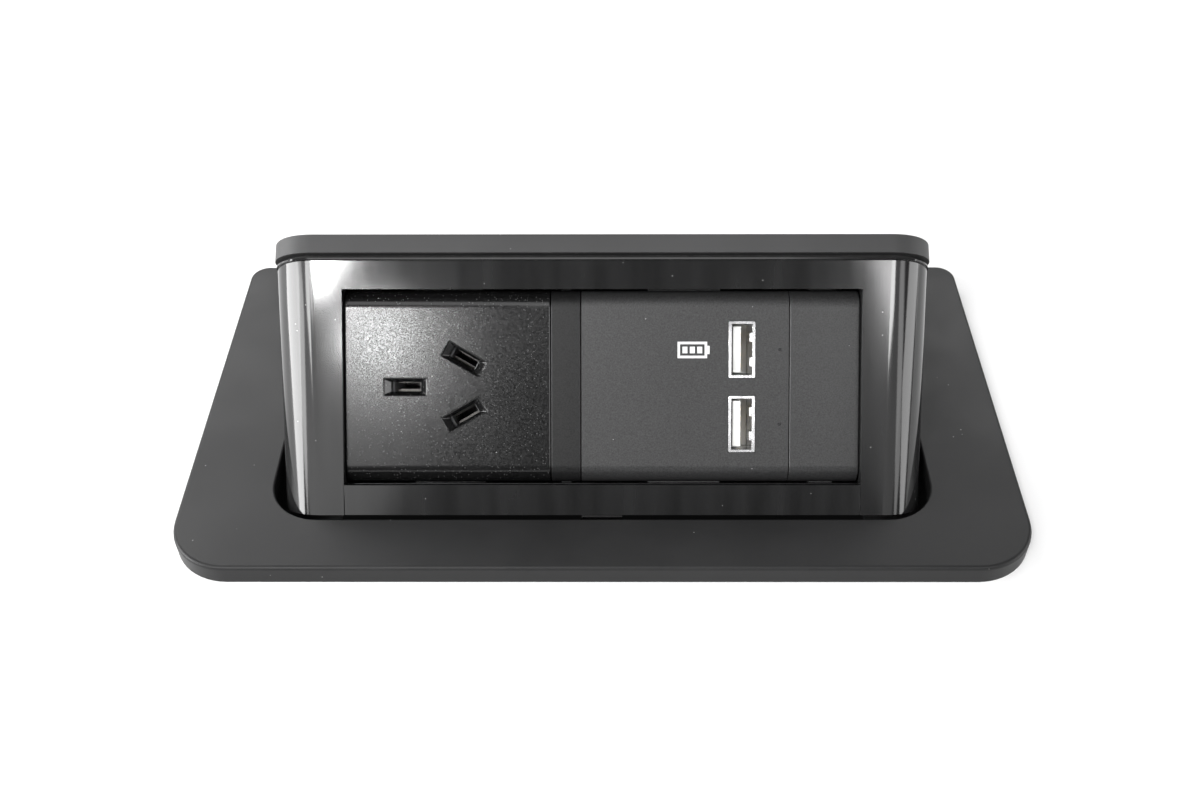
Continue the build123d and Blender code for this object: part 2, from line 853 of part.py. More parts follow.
def usb_light_pipes():
    """The two clear pins in the pin holes."""
    radius = light_radius - light_clearance
    back = -module_recess - module_front
    return [
        fronted(rod_z(radius, back, -module_recess - port_stand, usb_x + light_x, up))
        for up in port_places().values()
    ]


def case_posts():
    """Places of the posts that carry the charger's board."""
    x = usb_width / 2 - block_inset - case_wall - post_radius
    up = block_height / 2 - case_wall - post_radius
    return [(usb_x + side * x, rise * up) for side in (-1, 1) for rise in (-1, 1)]


def usb_case():
    """The cup behind the charger's front, with posts for its board."""
    half = usb_width / 2 - block_inset
    high = block_height / 2
    cup = box(usb_x - half, usb_x + half, -high, high, -block_depth, -block_front)
    inner_x, inner_up = half - case_wall, high - case_wall
    floor = -block_depth + case_wall
    cup -= box(usb_x - inner_x, usb_x + inner_x, -inner_up, inner_up, floor, -block_front)
    for x, up in case_posts():
        cup += rod_z(post_radius, floor, -board_depth - board_thickness, x, up)
    return fronted(cup)


def usb_board():
    """The charger's circuit board."""
    half = usb_width / 2 - block_inset - case_wall - block_clearance
    high = block_height / 2 - case_wall - block_clearance
    return fronted(box(usb_x - half, usb_x + half, -high, high, -board_depth - board_thickness, -board_depth))


def usb_transformer():
    """The transformer on the back of the board."""
    x = usb_x + transformer_x
    back = -board_depth - board_thickness
    half, high = transformer_width / 2, transformer_height / 2
    core = box(x - half, x + half, -high, high, back - transformer_depth, back)
    return fronted(fillet(core.edges().filter_by(Axis.Z), case_wall))


def usb_capacitors():
    """Two upright capacitors on the back of the board."""
    back = -board_depth - board_thickness
    return [
        fronted(
            rod_z(
                capacitor_radius, back - capacitor_depth, back, usb_x + capacitor_x, side * capacitor_up
            )
        )
        for side in (-1, 1)
    ]


def mounting_frame():
    """The ring behind the window that the modules clip into."""
    in_x = window_width / 2 + frame_clearance
    in_up = module_height / 2 + frame_clearance
    out_x, out_up = in_x + frame_side_border, in_up + frame_border
    back = -frame_depth - frame_thickness
    ring = box(-out_x, out_x, -out_up, out_up, back, -frame_depth)
    ring -= box(-in_x, in_x, -in_up, in_up, back, -frame_depth)
    for x, up in frame_screw_places():
        ring -= rod_z(small_screw_radius + screw_clearance, back, -frame_depth, x, up)
    return fronted(ring)


def mounting_frame_screws():
    """Screws from behind through the ring into the shell."""
    back = -frame_depth - frame_thickness
    length = frame_thickness + frame_depth - wall
    one = screw(small_screw_radius, length, small_head_radius, small_head)
    return [fronted(Pos(x, up, back) * one) for x, up in frame_screw_places()]


# Hinge
def clip_limits():
    """Inner and outer end of the right clip along the hinge."""
    outer = boss_x - boss_length - bush_flange - end_float
    return outer - clip_thickness, outer


def hinge_pin():
    """The right hinge pin, with its head outside the housing."""
    outer = wall_x
    pin = rod_x(pin_radius, clip_limits()[0] - pin_point, outer, hinge_y, hinge_z)
    return pin + rod_x(pin_head_radius, outer, outer + pin_head, hinge_y, hinge_z)


def hinge_bush():
    """The right flanged bush, its flange inside the cassette."""
    inner = boss_x - boss_length
    bush = rod_x(bush_radius, inner, boss_x, hinge_y, hinge_z)
    bush += rod_x(bush_flange_radius, inner - bush_flange, inner, hinge_y, hinge_z)
    return bush - rod_x(pin_radius + running, inner - bush_flange, boss_x, hinge_y, hinge_z)


def hinge_clip():
    """The right clip that keeps the pin in."""
    inner, outer = clip_limits()
    clip = rod_x(clip_radius, inner, outer, hinge_y, hinge_z)
    return clip - rod_x(pin_radius + running, inner, outer, hinge_y, hinge_z)


def left_of(shape):
    """The same piece on the left side."""
    return mirror(shape, Plane.YZ)


def wire_spring(radius, wire_radius, pitch, turns):
    """A coil about the upright axis, from zero upward."""
    path = Helix(pitch, pitch * turns, radius)
    ring = Plane(origin=path @ 0, z_dir=path % 0) * Circle(wire_radius)
    return path, sweep(ring, path=path)


def torsion_spring():
    """The coil round the left pin, with a leg under each peg."""
    path, coil = wire_spring(spring_radius, spring_wire_radius, spring_pitch, spring_turns)
    back = spring_wire_radius / 4
    first = Plane(origin=path @ 0 + Vector(0, back, 0), z_dir=(0, -1, 0)) * Circle(spring_wire_radius)
    last = Plane(origin=path @ 1 - Vector(0, back, 0), z_dir=(0, 1, 0)) * Circle(spring_wire_radius)
    coil = coil + extrude(first, spring_leg) + extrude(last, spring_leg)
    start_x = -boss_x - spring_clearance - spring_wire_radius
    return Pos(start_x, hinge_y, hinge_z) * Rot(0, -90, 0) * coil


# Gear sector and damper
def gear_profile(teeth, phase):
    """A full gear's outline, with involute flanks and a tooth at the phase angle."""
    pitch = gear_module * teeth / 2
    base = pitch * degrees_cos(pressure_angle)
    root = pitch - dedendum * gear_module
    tip = pitch + addendum * gear_module

    def involute(radius):
        lean = math.acos(min(1, base / radius))
        return math.tan(lean) - lean

    half_pitch_angle = math.pi / (2 * teeth) - tooth_thinning * gear_module / pitch
    start = max(base, root)
    flank = [start + (tip - start) * step / 4 for step in range(5)]
    half_angles = [half_pitch_angle + involute(pitch) - involute(radius) for radius in flank]
    points = []
    for tooth in range(teeth):
        middle = math.radians(phase) + tooth * 2 * math.pi / teeth
        rising = [(radius, -angle) for radius, angle in zip(flank, half_angles)]
        if start > root:
            rising.insert(0, (root, -half_angles[0]))
        falling = [(radius, -angle) for radius, angle in reversed(rising)]
        points += [(r * math.cos(middle + a), r * math.sin(middle + a)) for r, a in rising + falling]
    return make_face(Polyline(*points, close=True))


mesh_plane = Plane(
    origin=(boss_x, hinge_y, hinge_z),
    x_dir=(0, degrees_sin(mesh_angle), -degrees_cos(mesh_angle)),
    z_dir=(1, 0, 0),
)
mesh_distance = gear_module * (sector_teeth + pinion_teeth) / 2
pinion_y = hinge_y + mesh_distance * degrees_sin(mesh_angle)
pinion_z = hinge_z - mesh_distance * degrees_cos(mesh_angle)


def sector_screw_places():
    """Places of the sector's two screws at the raised place."""
    return [
        (
            hinge_y + sector_screw_reach * degrees_cos(turn),
            hinge_z + sector_screw_reach * degrees_sin(turn),
        )
        for turn in (opening_angle, opening_angle + 180)
    ]


def gear_sector():
    """Ten teeth of a full gear on a hub round the right hinge pin."""
    tooth_angle = 360 / sector_teeth
    gear = extrude(gear_profile(sector_teeth, tooth_angle / 2), gear_thickness)
    reach = gear_module * sector_teeth
    low = -sector_teeth_behind * tooth_angle
    high = sector_teeth_ahead * tooth_angle
    slice_face = make_face(
        Polyline(
            (0, 0),
            (reach * degrees_cos(low), reach * degrees_sin(low)),
            (reach * degrees_cos((low + high) / 2), reach * degrees_sin((low + high) / 2)),
            (reach * degrees_cos(high), reach * degrees_sin(high)),
            close=True,
        )
    )
    sector = gear & extrude(slice_face, gear_thickness)
    sector += extrude(Circle(sector_hub_radius), gear_thickness)
    sector -= extrude(Circle(pin_radius + sector_clearance), gear_thickness)
    sector = sector.moved(mesh_plane.location)
    for y, z in sector_screw_places():
        sector -= rod_x(small_screw_radius + screw_clearance, boss_x, boss_x + gear_thickness, y, z)
    return sector


def sector_screws():
    """Screws through the sector into the cassette's boss."""
    one = Rot(0, -90, 0) * screw(
        small_screw_radius, gear_thickness + screw_bite, small_head_radius, small_head
    )
    return [Pos(boss_x + gear_thickness, y, z) * one for y, z in sector_screw_places()]


def damper_pinion():
    """The damper's pinion and its shaft in one piece."""
    pinion = extrude(gear_profile(pinion_teeth, 180), gear_thickness)
    pinion = pinion.moved(mesh_plane.location * Location((mesh_distance, 0, 0)))
    end = wall_x + shaft_length
    return pinion + rod_x(shaft_radius, boss_x + gear_thickness, end, pinion_y, pinion_z)


def damper_screw_places():
    """Places of the damper's two screws."""
    return [(pinion_y + side * damper_ear_reach, pinion_z) for side in (-1, 1)]


def damper_body():
    """The round damper on the housing's right wall, with two ears."""
    start = wall_x
    body = rod_x(damper_radius, start, start + damper_length, pinion_y, pinion_z)
    body = fillet(body.edges().group_by(Axis.X)[-1], damper_radius / 8)
    ear_end = start + damper_ear_thickness
    low, high = pinion_z - damper_ear_radius, pinion_z + damper_ear_radius
    body += box(start, ear_end, pinion_y - damper_ear_reach, pinion_y + damper_ear_reach, low, high)
    for y, z in damper_screw_places():
        body += rod_x(damper_ear_radius, start, ear_end, y, z)
    for y, z in damper_screw_places():
        body -= rod_x(small_screw_radius + screw_clearance, start, ear_end, y, z)
    bore_end = start + shaft_length + shaft_clearance
    return body - rod_x(shaft_radius + running, start, bore_end, pinion_y, pinion_z)


def damper_screws():
    """Screws through the damper's ears into the housing."""
    one = Rot(0, -90, 0) * screw(
        small_screw_radius, damper_ear_thickness + screw_bite, small_head_radius, small_head
    )
    seat = wall_x + damper_ear_thickness
    return [Pos(seat, y, z) * one for y, z in damper_screw_places()]


# Housing under the desk
def housing():
    """Four walls that hang from the plate, open below, with a flange and two ears for the clamps."""
    shell = box(-wall_x, wall_x, wall_front, wall_rear, housing_bottom, recess_depth)
    front, rear = wall_front - flange_front, wall_rear + flange_rear
    shell += box(-flange_x, flange_x, front, rear, flange_low, recess_depth)
    shell -= box(-housing_half, housing_half, housing_front, housing_rear, housing_bottom, recess_depth)
    for side in (-1, 1):
        ends = sorted((side * wall_x, side * (wall_x + ear_reach)))
        low, high = clamp_y - clamp_width / 2, clamp_y + clamp_width / 2
        shell += box(*ends, low, high, -ear_drop - ear_thickness, -ear_drop)
        shell -= rod_z(
            clamp_bolt_radius + running, -ear_drop - ear_thickness, -ear_drop, side * clamp_x, clamp_y
        )
        walls = sorted((side * housing_half, side * wall_x))
        shell -= rod_x(pin_radius + running, *walls, hinge_y, hinge_z)
    shell -= rod_x(shaft_radius + shaft_clearance, housing_half, wall_x, pinion_y, pinion_z)
    for y, z in damper_screw_places():
        shell -= rod_x(
            small_screw_radius + screw_clearance, wall_x - screw_bite - screw_clearance, wall_x, y, z
        )
    for x, y in flange_screw_places():
        shell -= rod_z(small_screw_radius + screw_clearance, flange_low, recess_depth, x, y)
    for x, z in bracket_screw_places():
        deep = housing_front - screw_bite - screw_clearance
        hole = Pos(x, (deep + housing_front) / 2, z) * Rot(90, 0, 0) * Cylinder(
            small_screw_radius + screw_clearance, housing_front - deep
        )
        shell -= hole
    peg_end = -housing_half + side_room - peg_length - spring_clearance
    shell += rod_x(peg_radius, -housing_half - peg_gap, peg_end - boss_reach, hinge_y + peg_reach, peg_z())
    return shell


def housing_screws():
    """Screws up through the flange into the plate."""
    one = screw(small_screw_radius, flange_thickness + screw_bite, small_head_radius, small_head)
    return [Pos(x, y, flange_low) * one for x, y in flange_screw_places()]


# Clamps
def clamp_claw():
    """The right claw: a foot on the bolt's head, a strip and an arm under the desk."""
    foot_low = -desk_thickness - claw_drop
    arm_top = -desk_thickness - clamp_pad
    low, high = clamp_y - clamp_width / 2, clamp_y + clamp_width / 2
    strip_x = wall_x + claw_strip_offset
    claw = box(
        wall_x + clamp_side_gap, strip_x + claw_thickness, low, high, foot_low, foot_low + claw_thickness
    )
    claw += box(strip_x, strip_x + claw_thickness, low, high, foot_low, arm_top)
    claw += box(strip_x, wall_x + claw_reach, low, high, arm_top - claw_thickness, arm_top)
    hole = rod_z(
        clamp_bolt_radius + clamp_bolt_clearance, foot_low, foot_low + claw_thickness, clamp_x, clamp_y
    )
    return claw - hole


def clamp_rubber():
    """The right claw's rubber pad, which meets the desk."""
    low, high = clamp_y - clamp_width / 2 + clamp_pad_inset, clamp_y + clamp_width / 2 - clamp_pad_inset
    start = wall_x + claw_strip_offset + claw_thickness
    end = wall_x + claw_reach - clamp_pad_inset
    return box(start, end, low, high, -desk_thickness - clamp_pad, -desk_thickness)


def clamp_bolt():
    """The right clamp bolt, head down, with a crosswise slot."""
    bolt = Pos(clamp_x, clamp_y, -desk_thickness - claw_drop) * (
        rod_z(clamp_bolt_radius, 0, clamp_bolt_length, 0, 0)
        + Pos(0, 0, -clamp_head) * extrude(RegularPolygon(clamp_head_radius, 6), clamp_head)
    )
    return bolt


# Latch
strike_y = face_bottom_y + latch_setback
plunger_top = face_bottom_z - latch_gap
latch_low = housing_bottom + bracket_thickness


def bracket_screw_places():
    """Places of the latch bracket's screws in the housing's front wall."""
    x = bracket_width / 2 - 2 * small_head_radius
    z = housing_bottom + bracket_height - 2 * small_head_radius
    return [(side * x, z) for side in (-1, 1)]


def latch_strike():
    """The foot under the cassette that lands on the latch."""
    block = box(
        -strike_width / 2,
        strike_width / 2,
        strike_y - strike_depth / 2,
        strike_y + strike_depth / 2,
        face_bottom_z,
        face_bottom_z + 2 * strike_depth,
    )
    wall_block = cassette_block(0).moved(face_plane.location)
    keep = (block - wall_block).solids().sort_by(Axis.Z)[0]
    return raised(keep)


def latch_plunger():
    """The sprung plunger, bored from below for its spring."""
    half = plunger_size / 2
    low = plunger_top - plunger_length
    body = box(-half, half, strike_y - half, strike_y + half, low, plunger_top)
    body = chamfer(body.edges().group_by(Axis.Z)[-1], plunger_size / 8)
    return body - rod_z(plunger_bore, low, low + plunger_bore_depth, 0, strike_y)


def latch_body():
    """The latch's case on its bracket."""
    half_x, half_y = latch_body_width / 2, latch_body_depth / 2
    top = plunger_top - latch_top_drop
    case = box(-half_x, half_x, strike_y - half_y, strike_y + half_y, latch_low, top)
    guide = plunger_size / 2 + latch_guide
    return case - box(-guide, guide, strike_y - guide, strike_y + guide, latch_low + latch_floor, top)


def latch_spring():
    """The small coil under the plunger."""
    foot = latch_low + latch_floor + latch_spring_wire
    head = plunger_top - plunger_length + plunger_bore_depth - latch_spring_wire
    turns = round((head - foot) / latch_spring_pitch)
    _, coil = wire_spring(latch_spring_radius, latch_spring_wire, (head - foot) / turns, turns)
    return Pos(0, strike_y, foot) * coil


def latch_bracket():
    """The folded strap that carries the latch from the housing's front wall."""
    half = bracket_width / 2
    rear = strike_y + latch_body_depth / 2 + bracket_margin
    strap = box(-half, half, housing_front, rear, housing_bottom, housing_bottom + bracket_thickness)
    high = housing_bottom + bracket_height
    strap += box(-half, half, housing_front, housing_front + bracket_thickness, housing_bottom, high)
    for x, z in bracket_screw_places():
        strap -= Pos(x, housing_front + bracket_thickness / 2, z) * Rot(90, 0, 0) * Cylinder(
            small_screw_radius + screw_clearance, bracket_thickness
        )
    return strap


def latch_bracket_screws():
    """Screws through the bracket into the housing's front wall."""
    one = Rot(90, 0, 0) * screw(
        small_screw_radius, bracket_thickness + screw_bite, small_head_radius, small_head
    )
    return [Pos(x, housing_front + bracket_thickness, z) * one for x, z in bracket_screw_places()]


# Every sub-part goes to its own file
def main():
    """Builds and writes the whole unit."""
    write(desk_plate(), "desk_plate")
    write(lid(), "lid")
    write(lid_gasket(), "lid_gasket")
    write(lid_screws(), "lid_screws")
    write(cassette_shell(), "cassette_shell")
    write(lower_trim(), "lower_trim")
    write(rear_cover(), "rear_cover")
    write(rear_cover_screws(), "rear_cover_screws")
    write(cable_gland(), "cable_gland")
    write(gland_nut(), "gland_nut")
    write(mounting_frame(), "mounting_frame")
    write(mounting_frame_screws(), "mounting_frame_screws")
    write(socket_face(), "socket_face")
    write(socket_base(), "socket_base")
    for name, place in slot_places().items():
        write(socket_contact(place), name)
    write(terminal_screws(), "terminal_screws")
    write(fronted(module_cap(spacer_x, spacer_width)), "spacer_strip")
    write(fronted(module_cap(blank_x, blank_width)), "blank_plate")
    write(usb_face(), "usb_face")
    write(usb_case(), "usb_case")
    write(usb_board(), "usb_board")
    write(usb_transformer(), "usb_transformer")
    write(usb_capacitors(), "usb_capacitors")
    write(usb_light_pipes(), "usb_light_pipes")
    for name, up in port_places().items():
        write(usb_shell(up), "usb_shell_" + name)
        write(usb_tongue(up), "usb_tongue_" + name)
        write(usb_contacts(up), "usb_contacts_" + name)
    write(hinge_pin(), "hinge_pin_right")
    write(left_of(hinge_pin()), "hinge_pin_left")
    write([hinge_bush(), left_of(hinge_bush())], "hinge_bushes")
    write([hinge_clip(), left_of(hinge_clip())], "hinge_clips")
    write(torsion_spring(), "torsion_spring")
    write(gear_sector(), "gear_sector")
    write(sector_screws(), "sector_screws")
    write(damper_pinion(), "damper_pinion")
    write(damper_body(), "damper_body")
    write(damper_screws(), "damper_screws")
    write(housing(), "housing")
    write(housing_screws(), "housing_screws")
    for name, turned in (("right", lambda shape: shape), ("left", left_of)):
        write(turned(clamp_claw()), "clamp_claw_" + name)
        write(turned(clamp_rubber()), "clamp_pad_" + name)
        write(turned(clamp_bolt()), "clamp_bolt_" + name)
    write(latch_strike(), "latch_strike")
    write(latch_plunger(), "latch_plunger")
    write(latch_body(), "latch_body")
    write(latch_spring(), "latch_spring")
    write(latch_bracket(), "latch_bracket")
    write(latch_bracket_screws(), "latch_bracket_screws")


main()
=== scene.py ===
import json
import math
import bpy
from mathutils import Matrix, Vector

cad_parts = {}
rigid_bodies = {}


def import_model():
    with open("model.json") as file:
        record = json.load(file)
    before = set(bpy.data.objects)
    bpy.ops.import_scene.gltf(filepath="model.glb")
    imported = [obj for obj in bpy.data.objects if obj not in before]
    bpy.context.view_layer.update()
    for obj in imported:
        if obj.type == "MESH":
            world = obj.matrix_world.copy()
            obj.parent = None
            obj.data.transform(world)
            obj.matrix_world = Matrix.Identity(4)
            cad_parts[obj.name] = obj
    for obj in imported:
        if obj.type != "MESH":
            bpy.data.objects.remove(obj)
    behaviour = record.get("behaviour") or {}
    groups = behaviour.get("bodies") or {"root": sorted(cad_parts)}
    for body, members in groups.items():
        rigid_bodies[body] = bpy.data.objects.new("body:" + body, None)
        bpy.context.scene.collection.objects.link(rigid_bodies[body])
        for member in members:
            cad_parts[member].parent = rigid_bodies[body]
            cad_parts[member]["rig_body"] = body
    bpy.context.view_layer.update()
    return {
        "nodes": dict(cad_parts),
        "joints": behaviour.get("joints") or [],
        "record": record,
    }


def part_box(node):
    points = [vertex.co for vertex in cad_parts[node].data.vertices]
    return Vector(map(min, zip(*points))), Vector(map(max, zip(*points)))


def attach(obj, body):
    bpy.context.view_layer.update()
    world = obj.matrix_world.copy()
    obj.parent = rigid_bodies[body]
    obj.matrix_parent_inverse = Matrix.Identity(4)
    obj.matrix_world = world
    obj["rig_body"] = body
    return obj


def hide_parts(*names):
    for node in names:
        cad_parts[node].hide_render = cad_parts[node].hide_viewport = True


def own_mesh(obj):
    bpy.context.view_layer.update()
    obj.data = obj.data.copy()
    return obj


bl_info = {
    "name": "Pop-up desk socket",
    "version": (1, 0, 0),
    "blender": (4, 5, 0),
    "location": "View3D > Sidebar > Desk socket",
    "description": "Finishes the solids of a pop-up desk socket and lights them on a desk top",
    "category": "Object",
}

import bmesh
import bpy
from mathutils import Euler, Matrix, Vector

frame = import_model()

MM = 0.001
MERGE_DISTANCE = 0.002 * MM
LEVEL_DISTANCE = 0.02 * MM
FLAT_ANGLE = math.radians(0.4)
EDGE_ANGLE = math.radians(32)
COIL_ANGLE = math.radians(40)
ACROSS = Vector((1, 0, 0))
UPWARD = Vector((0, 0, 1))

# Dust on the mouldings
SPECK = 0.14 * MM
SPECK_TONE = 0.25

# Pan-head screws: sides, shares of the head's radius or height, and turns in radians
HEAD_SIDES, SHANK_SIDES = 28, 16
CROWN_WIDTH, RIM_HEIGHT = 0.80, 0.45
RECESS_REACH, RECESS_DEPTH, RECESS_WIDTH = 1.15, 0.9, 0.3
FIRST_TURN, NEXT_TURN = 0.7, 1.9

# Rebate below the lid
REBATE_INSET = 1.6 * MM
REBATE_LENGTH = 40 * MM
REBATE_ABOVE = 4 * MM
OVERSHOOT = 3 * MM
ARC_STEPS = 8

# Grip ribs of the cable gland
RIB_CIRCLE, RIB_WIDTH, RIB_HEIGHT, RIB_LENGTH = 6.15 * MM, 0.8 * MM, 0.9 * MM, 3.6 * MM
RIB_START = 1.6 * MM

# Bars of the clamp pads, as shares of the pad's thickness and of a bar's step
BAR_HEIGHT, BAR_WIDTH = 0.4, 0.62

# Stage
CUTOUT_GAP = 0.5 * MM
LAMP_TARGET = Vector((0, 0, 0.02))
LAMPS = (
    # name, bearing, rise (degrees), distance, width, height (metres), brightness
    ("window_upper_left", -27.0, 44.5, 0.94, 0.120, 0.075, 101.0),
    ("panel_left", -41.6, 31.1, 1.05, 0.900, 0.500, 1.59),
    ("panel_mid_left", -58.3, 21.5, 0.95, 0.121, 0.252, 6.47),
    ("panel_low_left", -78.6, 10.3, 0.80, 0.442, 0.487, 12.7),
    ("panel_side_left", -111.3, 7.4, 0.80, 0.380, 0.388, 2.82),
    ("window_upper_right", 29.5, 41.0, 0.94, 0.173, 0.117, 16.0),
    ("panel_right", 41.0, 33.1, 1.05, 0.737, 0.437, 0.72),
    ("panel_mid_right", 54.5, 24.4, 0.95, 0.175, 0.319, 2.94),
    ("panel_low_right", 79.4, 11.0, 0.80, 0.496, 0.251, 4.89),
    ("panel_side_right", 99.7, 2.5, 0.80, 0.273, 0.487, 1.22),
    ("socket_glow", -17.6, 40.4, 0.94, 0.046, 0.050, 76.0),
    ("corner_glow_outer", -42.7, 36.7, 0.95, 0.180, 0.143, 12.0),
    ("corner_glow_inner", -32.2, 41.4, 0.95, 0.093, 0.086, 12.0),
    ("port_glint", 10.5, 38.3, 0.94, 0.100, 0.100, 2.60),
    ("ceiling_front", -1.5, 58.6, 1.00, 0.060, 0.381, 2.86),
    ("ceiling", -31.5, 71.9, 1.03, 0.859, 0.336, 2.05),
    ("wall_rear_left", -143.0, 37.5, 1.22, 0.650, 0.438, 9.20),
    ("wall_rear_right", 151.2, 36.0, 1.22, 0.442, 0.445, 5.62),
    ("under_left", -50.0, -26.0, 0.90, 0.500, 0.300, 3.0),
    ("under_right", 60.0, -26.0, 0.90, 0.500, 0.300, 2.0),
    ("under_rear", 175.0, -26.0, 0.90, 0.600, 0.300, 2.0),
)


def named(items, name):
    """The entry of that name in a list of the frame."""
    return next(item for item in items if item["name"] == name)


OPENING_ANGLE = math.radians(named(frame["joints"], "cassette_tilt")["range_deg"][1])


# Values that a user would change
def colour_value(name, description, *colour):
    return bpy.props.FloatVectorProperty(
        name=name, description=description, default=colour, subtype="COLOR"
    )


def length_value(name, description, default):
    return bpy.props.FloatProperty(
        name=name, description=description, default=default, unit="LENGTH"
    )


def angle_value(name, description, degrees):
    return bpy.props.FloatProperty(
        name=name, description=description, default=math.radians(degrees), subtype="ANGLE"
    )


class DeskSocketColours(bpy.types.PropertyGroup):
    """Base colours of the finishes."""

    plate: colour_value("Plate", "Satin plastic of the desk plate", 0.0168, 0.0168, 0.0172)
    lid: colour_value("Lid", "Satin plastic of the lid", 0.0344, 0.0344, 0.0349)
    gloss: colour_value("Front frame", "Glossy plastic of the cassette", 0.012, 0.012, 0.0122)
    socket: colour_value("Socket", "Sparkling plastic of its front", 0.0060, 0.0060, 0.0061)
    module: colour_value("Charger", "Matt plastic, also of the blank", 0.0252, 0.0252, 0.0256)
    strip: colour_value("Strip", "Matt plastic between the modules", 0.0106, 0.0106, 0.0108)
    housing: colour_value("Housing", "Matt plastic under the desk", 0.026, 0.026, 0.027)
    moulding: colour_value("Inner mouldings", "Grey plastic of inner parts", 0.17, 0.17, 0.175)
    rubber: colour_value("Rubber", "Gasket and clamp pads", 0.012, 0.012, 0.012)
    zinc: colour_value("Zinc plate", "Plated fasteners and brackets", 0.62, 0.62, 0.60)
    black_steel: colour_value("Black steel", "Frame behind the fronts", 0.045, 0.045, 0.046)
    steel: colour_value("Bright steel", "Port shells and springs", 0.80, 0.80, 0.81)
    # The contacts' colour is kept dark as painted shade deep in the socket's slots.
    contact: colour_value("Contacts", "Plated contacts, darkened as painted shade in the slots", 0.075, 0.073, 0.069)


class DeskSocketSizes(bpy.types.PropertyGroup):
    """Sizes of the details that the finishes add."""

    edge_round: length_value("Edge rounding", "Rounding of the moulded edges", 0.25 * MM)
    shadow_gap: length_value("Shadow gap", "How much taller the gap is made", 0.45 * MM)
    tuck_angle: angle_value("Face tuck", "Lean of the face from square to the lid", 13.5)
    grain: length_value("Grain", "Size of the moulded surface grain", 0.35 * MM)
    thread_pitch: length_value("Thread pitch", "Pitch of the clamp bolts", 0.8 * MM)
    thread_depth: length_value("Thread depth", "Depth of the bolts' thread", 0.42 * MM)
    grip_bars: bpy.props.IntProperty(
        name="Pad bars", description="Grip bars across each clamp pad", default=8
    )
    gland_ribs: bpy.props.IntProperty(
        name="Gland ribs", description="Grip ribs round the gland's cap", default=16
    )
    mark_width: length_value("Mark width", "Width of the battery sign", 7.2 * MM)
    mark_height: length_value("Mark height", "Height of the battery sign", 4.0 * MM)
    mark_line: length_value("Mark line", "Line width of the battery sign", 0.6 * MM)
    mark_x: length_value("Mark place", "Place of the sign across the face", 22.0 * MM)
    mark_up: length_value("Mark rise", "Place of the sign up the face", 9.0 * MM)


class DeskSocketStage(bpy.types.PropertyGroup):
    """Camera, floor and light."""

    lens: bpy.props.FloatProperty(
        name="Lens", description="Focal length in millimetres", default=37.86
    )
    pitch: angle_value("Pitch", "How far the camera looks down", 44.56)
    yaw: angle_value("Yaw", "How far the camera looks to the left", 0.319)
    roll: angle_value("Roll", "Turn of the camera about its view", -0.2435)
    camera: bpy.props.FloatVectorProperty(
        name="Camera",
        description="Place of the camera",
        default=(0.00074, -0.2396, 0.24086),
        subtype="TRANSLATION",
    )
    floor_half: length_value("Floor", "Half the floor's width", 3.0)
    desk_height: length_value("Desk height", "From the room's floor", 0.75)
    floor_glow: bpy.props.FloatProperty(
        name="Floor glow", description="Light the pale floor gives by itself", default=0.33
    )
    sky: bpy.props.FloatProperty(
        name="Sky", description="Strength of the even light all round", default=0.10
    )


def colours():
    return bpy.context.scene.desk_socket_colours


def sizes():
    return bpy.context.scene.desk_socket_sizes


def stage_values():
    return bpy.context.scene.desk_socket_stage


# Directions and places on the raised cassette
def lid_up():
    """Square to the lid, out of its top."""
    return Vector((0, math.sin(OPENING_ANGLE), math.cos(OPENING_ANGLE)))


def lean():
    """How far the raised face's normal is from level."""
    return OPENING_ANGLE - sizes().tuck_angle


def face_out():
    return Vector((0, -math.cos(lean()), math.sin(lean())))


def face_up():
    return Vector((0, math.sin(lean()), math.cos(lean())))


def points_of(node):
    return [vertex.co for vertex in frame["nodes"][node].data.vertices]


def box_centre(node):
    low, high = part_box(node)
    return (low + high) / 2


def face_matrix(node):
    """A frame on a module's front: x across, y up and z out, from the window's centre."""
    middle = (box_centre("usb_shell_upper") + box_centre("usb_shell_lower")) / 2
    out, up = face_out(), face_up()
    reach = max(point.dot(out) for point in points_of(node))
    turn = Matrix((ACROSS, up, out)).transposed().to_4x4()
    return Matrix.Translation(up * middle.dot(up) + out * reach) @ turn


# Small tools for node trees
def set_inputs(tree, node, values):
    """Links or sets inputs of a node, each by its name or place."""
    for label, value in values:
        socket = node.inputs[label]
        if isinstance(value, bpy.types.NodeSocket):
            tree.links.new(value, socket)
        else:
            socket.default_value = value


def add_node(tree, kind, inputs=(), **settings):
    node = tree.nodes.new(kind)
    for key, value in settings.items():
        setattr(node, key, value)
    set_inputs(tree, node, inputs)
    return node


def made(tree, kind, inputs=(), **settings):
    """The first output of a new node."""
    return add_node(tree, kind, inputs, **settings).outputs[0]


def worked_out(tree, operation, a, b):
    """A number worked out from two others."""
    return made(tree, "ShaderNodeMath", ((0, a), (1, b)), operation=operation)


def times(tree, a, b):
    return worked_out(tree, "MULTIPLY", a, b)


# Small tools for materials
def new_material(name):
    """A material, its tree, its shader, and the place on the object for the textures."""
    material = bpy.data.materials.new(name)
    material.use_nodes = True
    tree = material.node_tree
    place = tree.nodes.new("ShaderNodeTexCoord").outputs["Object"]
    return material, tree, tree.nodes["Principled BSDF"], place


def stretched(tree, vector, scale):
    return made(tree, "ShaderNodeMapping", (("Vector", vector), ("Scale", scale)))


def noise(tree, vector, size, detail=2.0, roughness=0.5):
    """Noise whose spots are about as large as the size."""
    inputs = (
        ("Vector", vector),
        ("Scale", 1 / size),
        ("Detail", detail),
        ("Roughness", roughness),
    )
    return add_node(tree, "ShaderNodeTexNoise", inputs).outputs["Fac"]


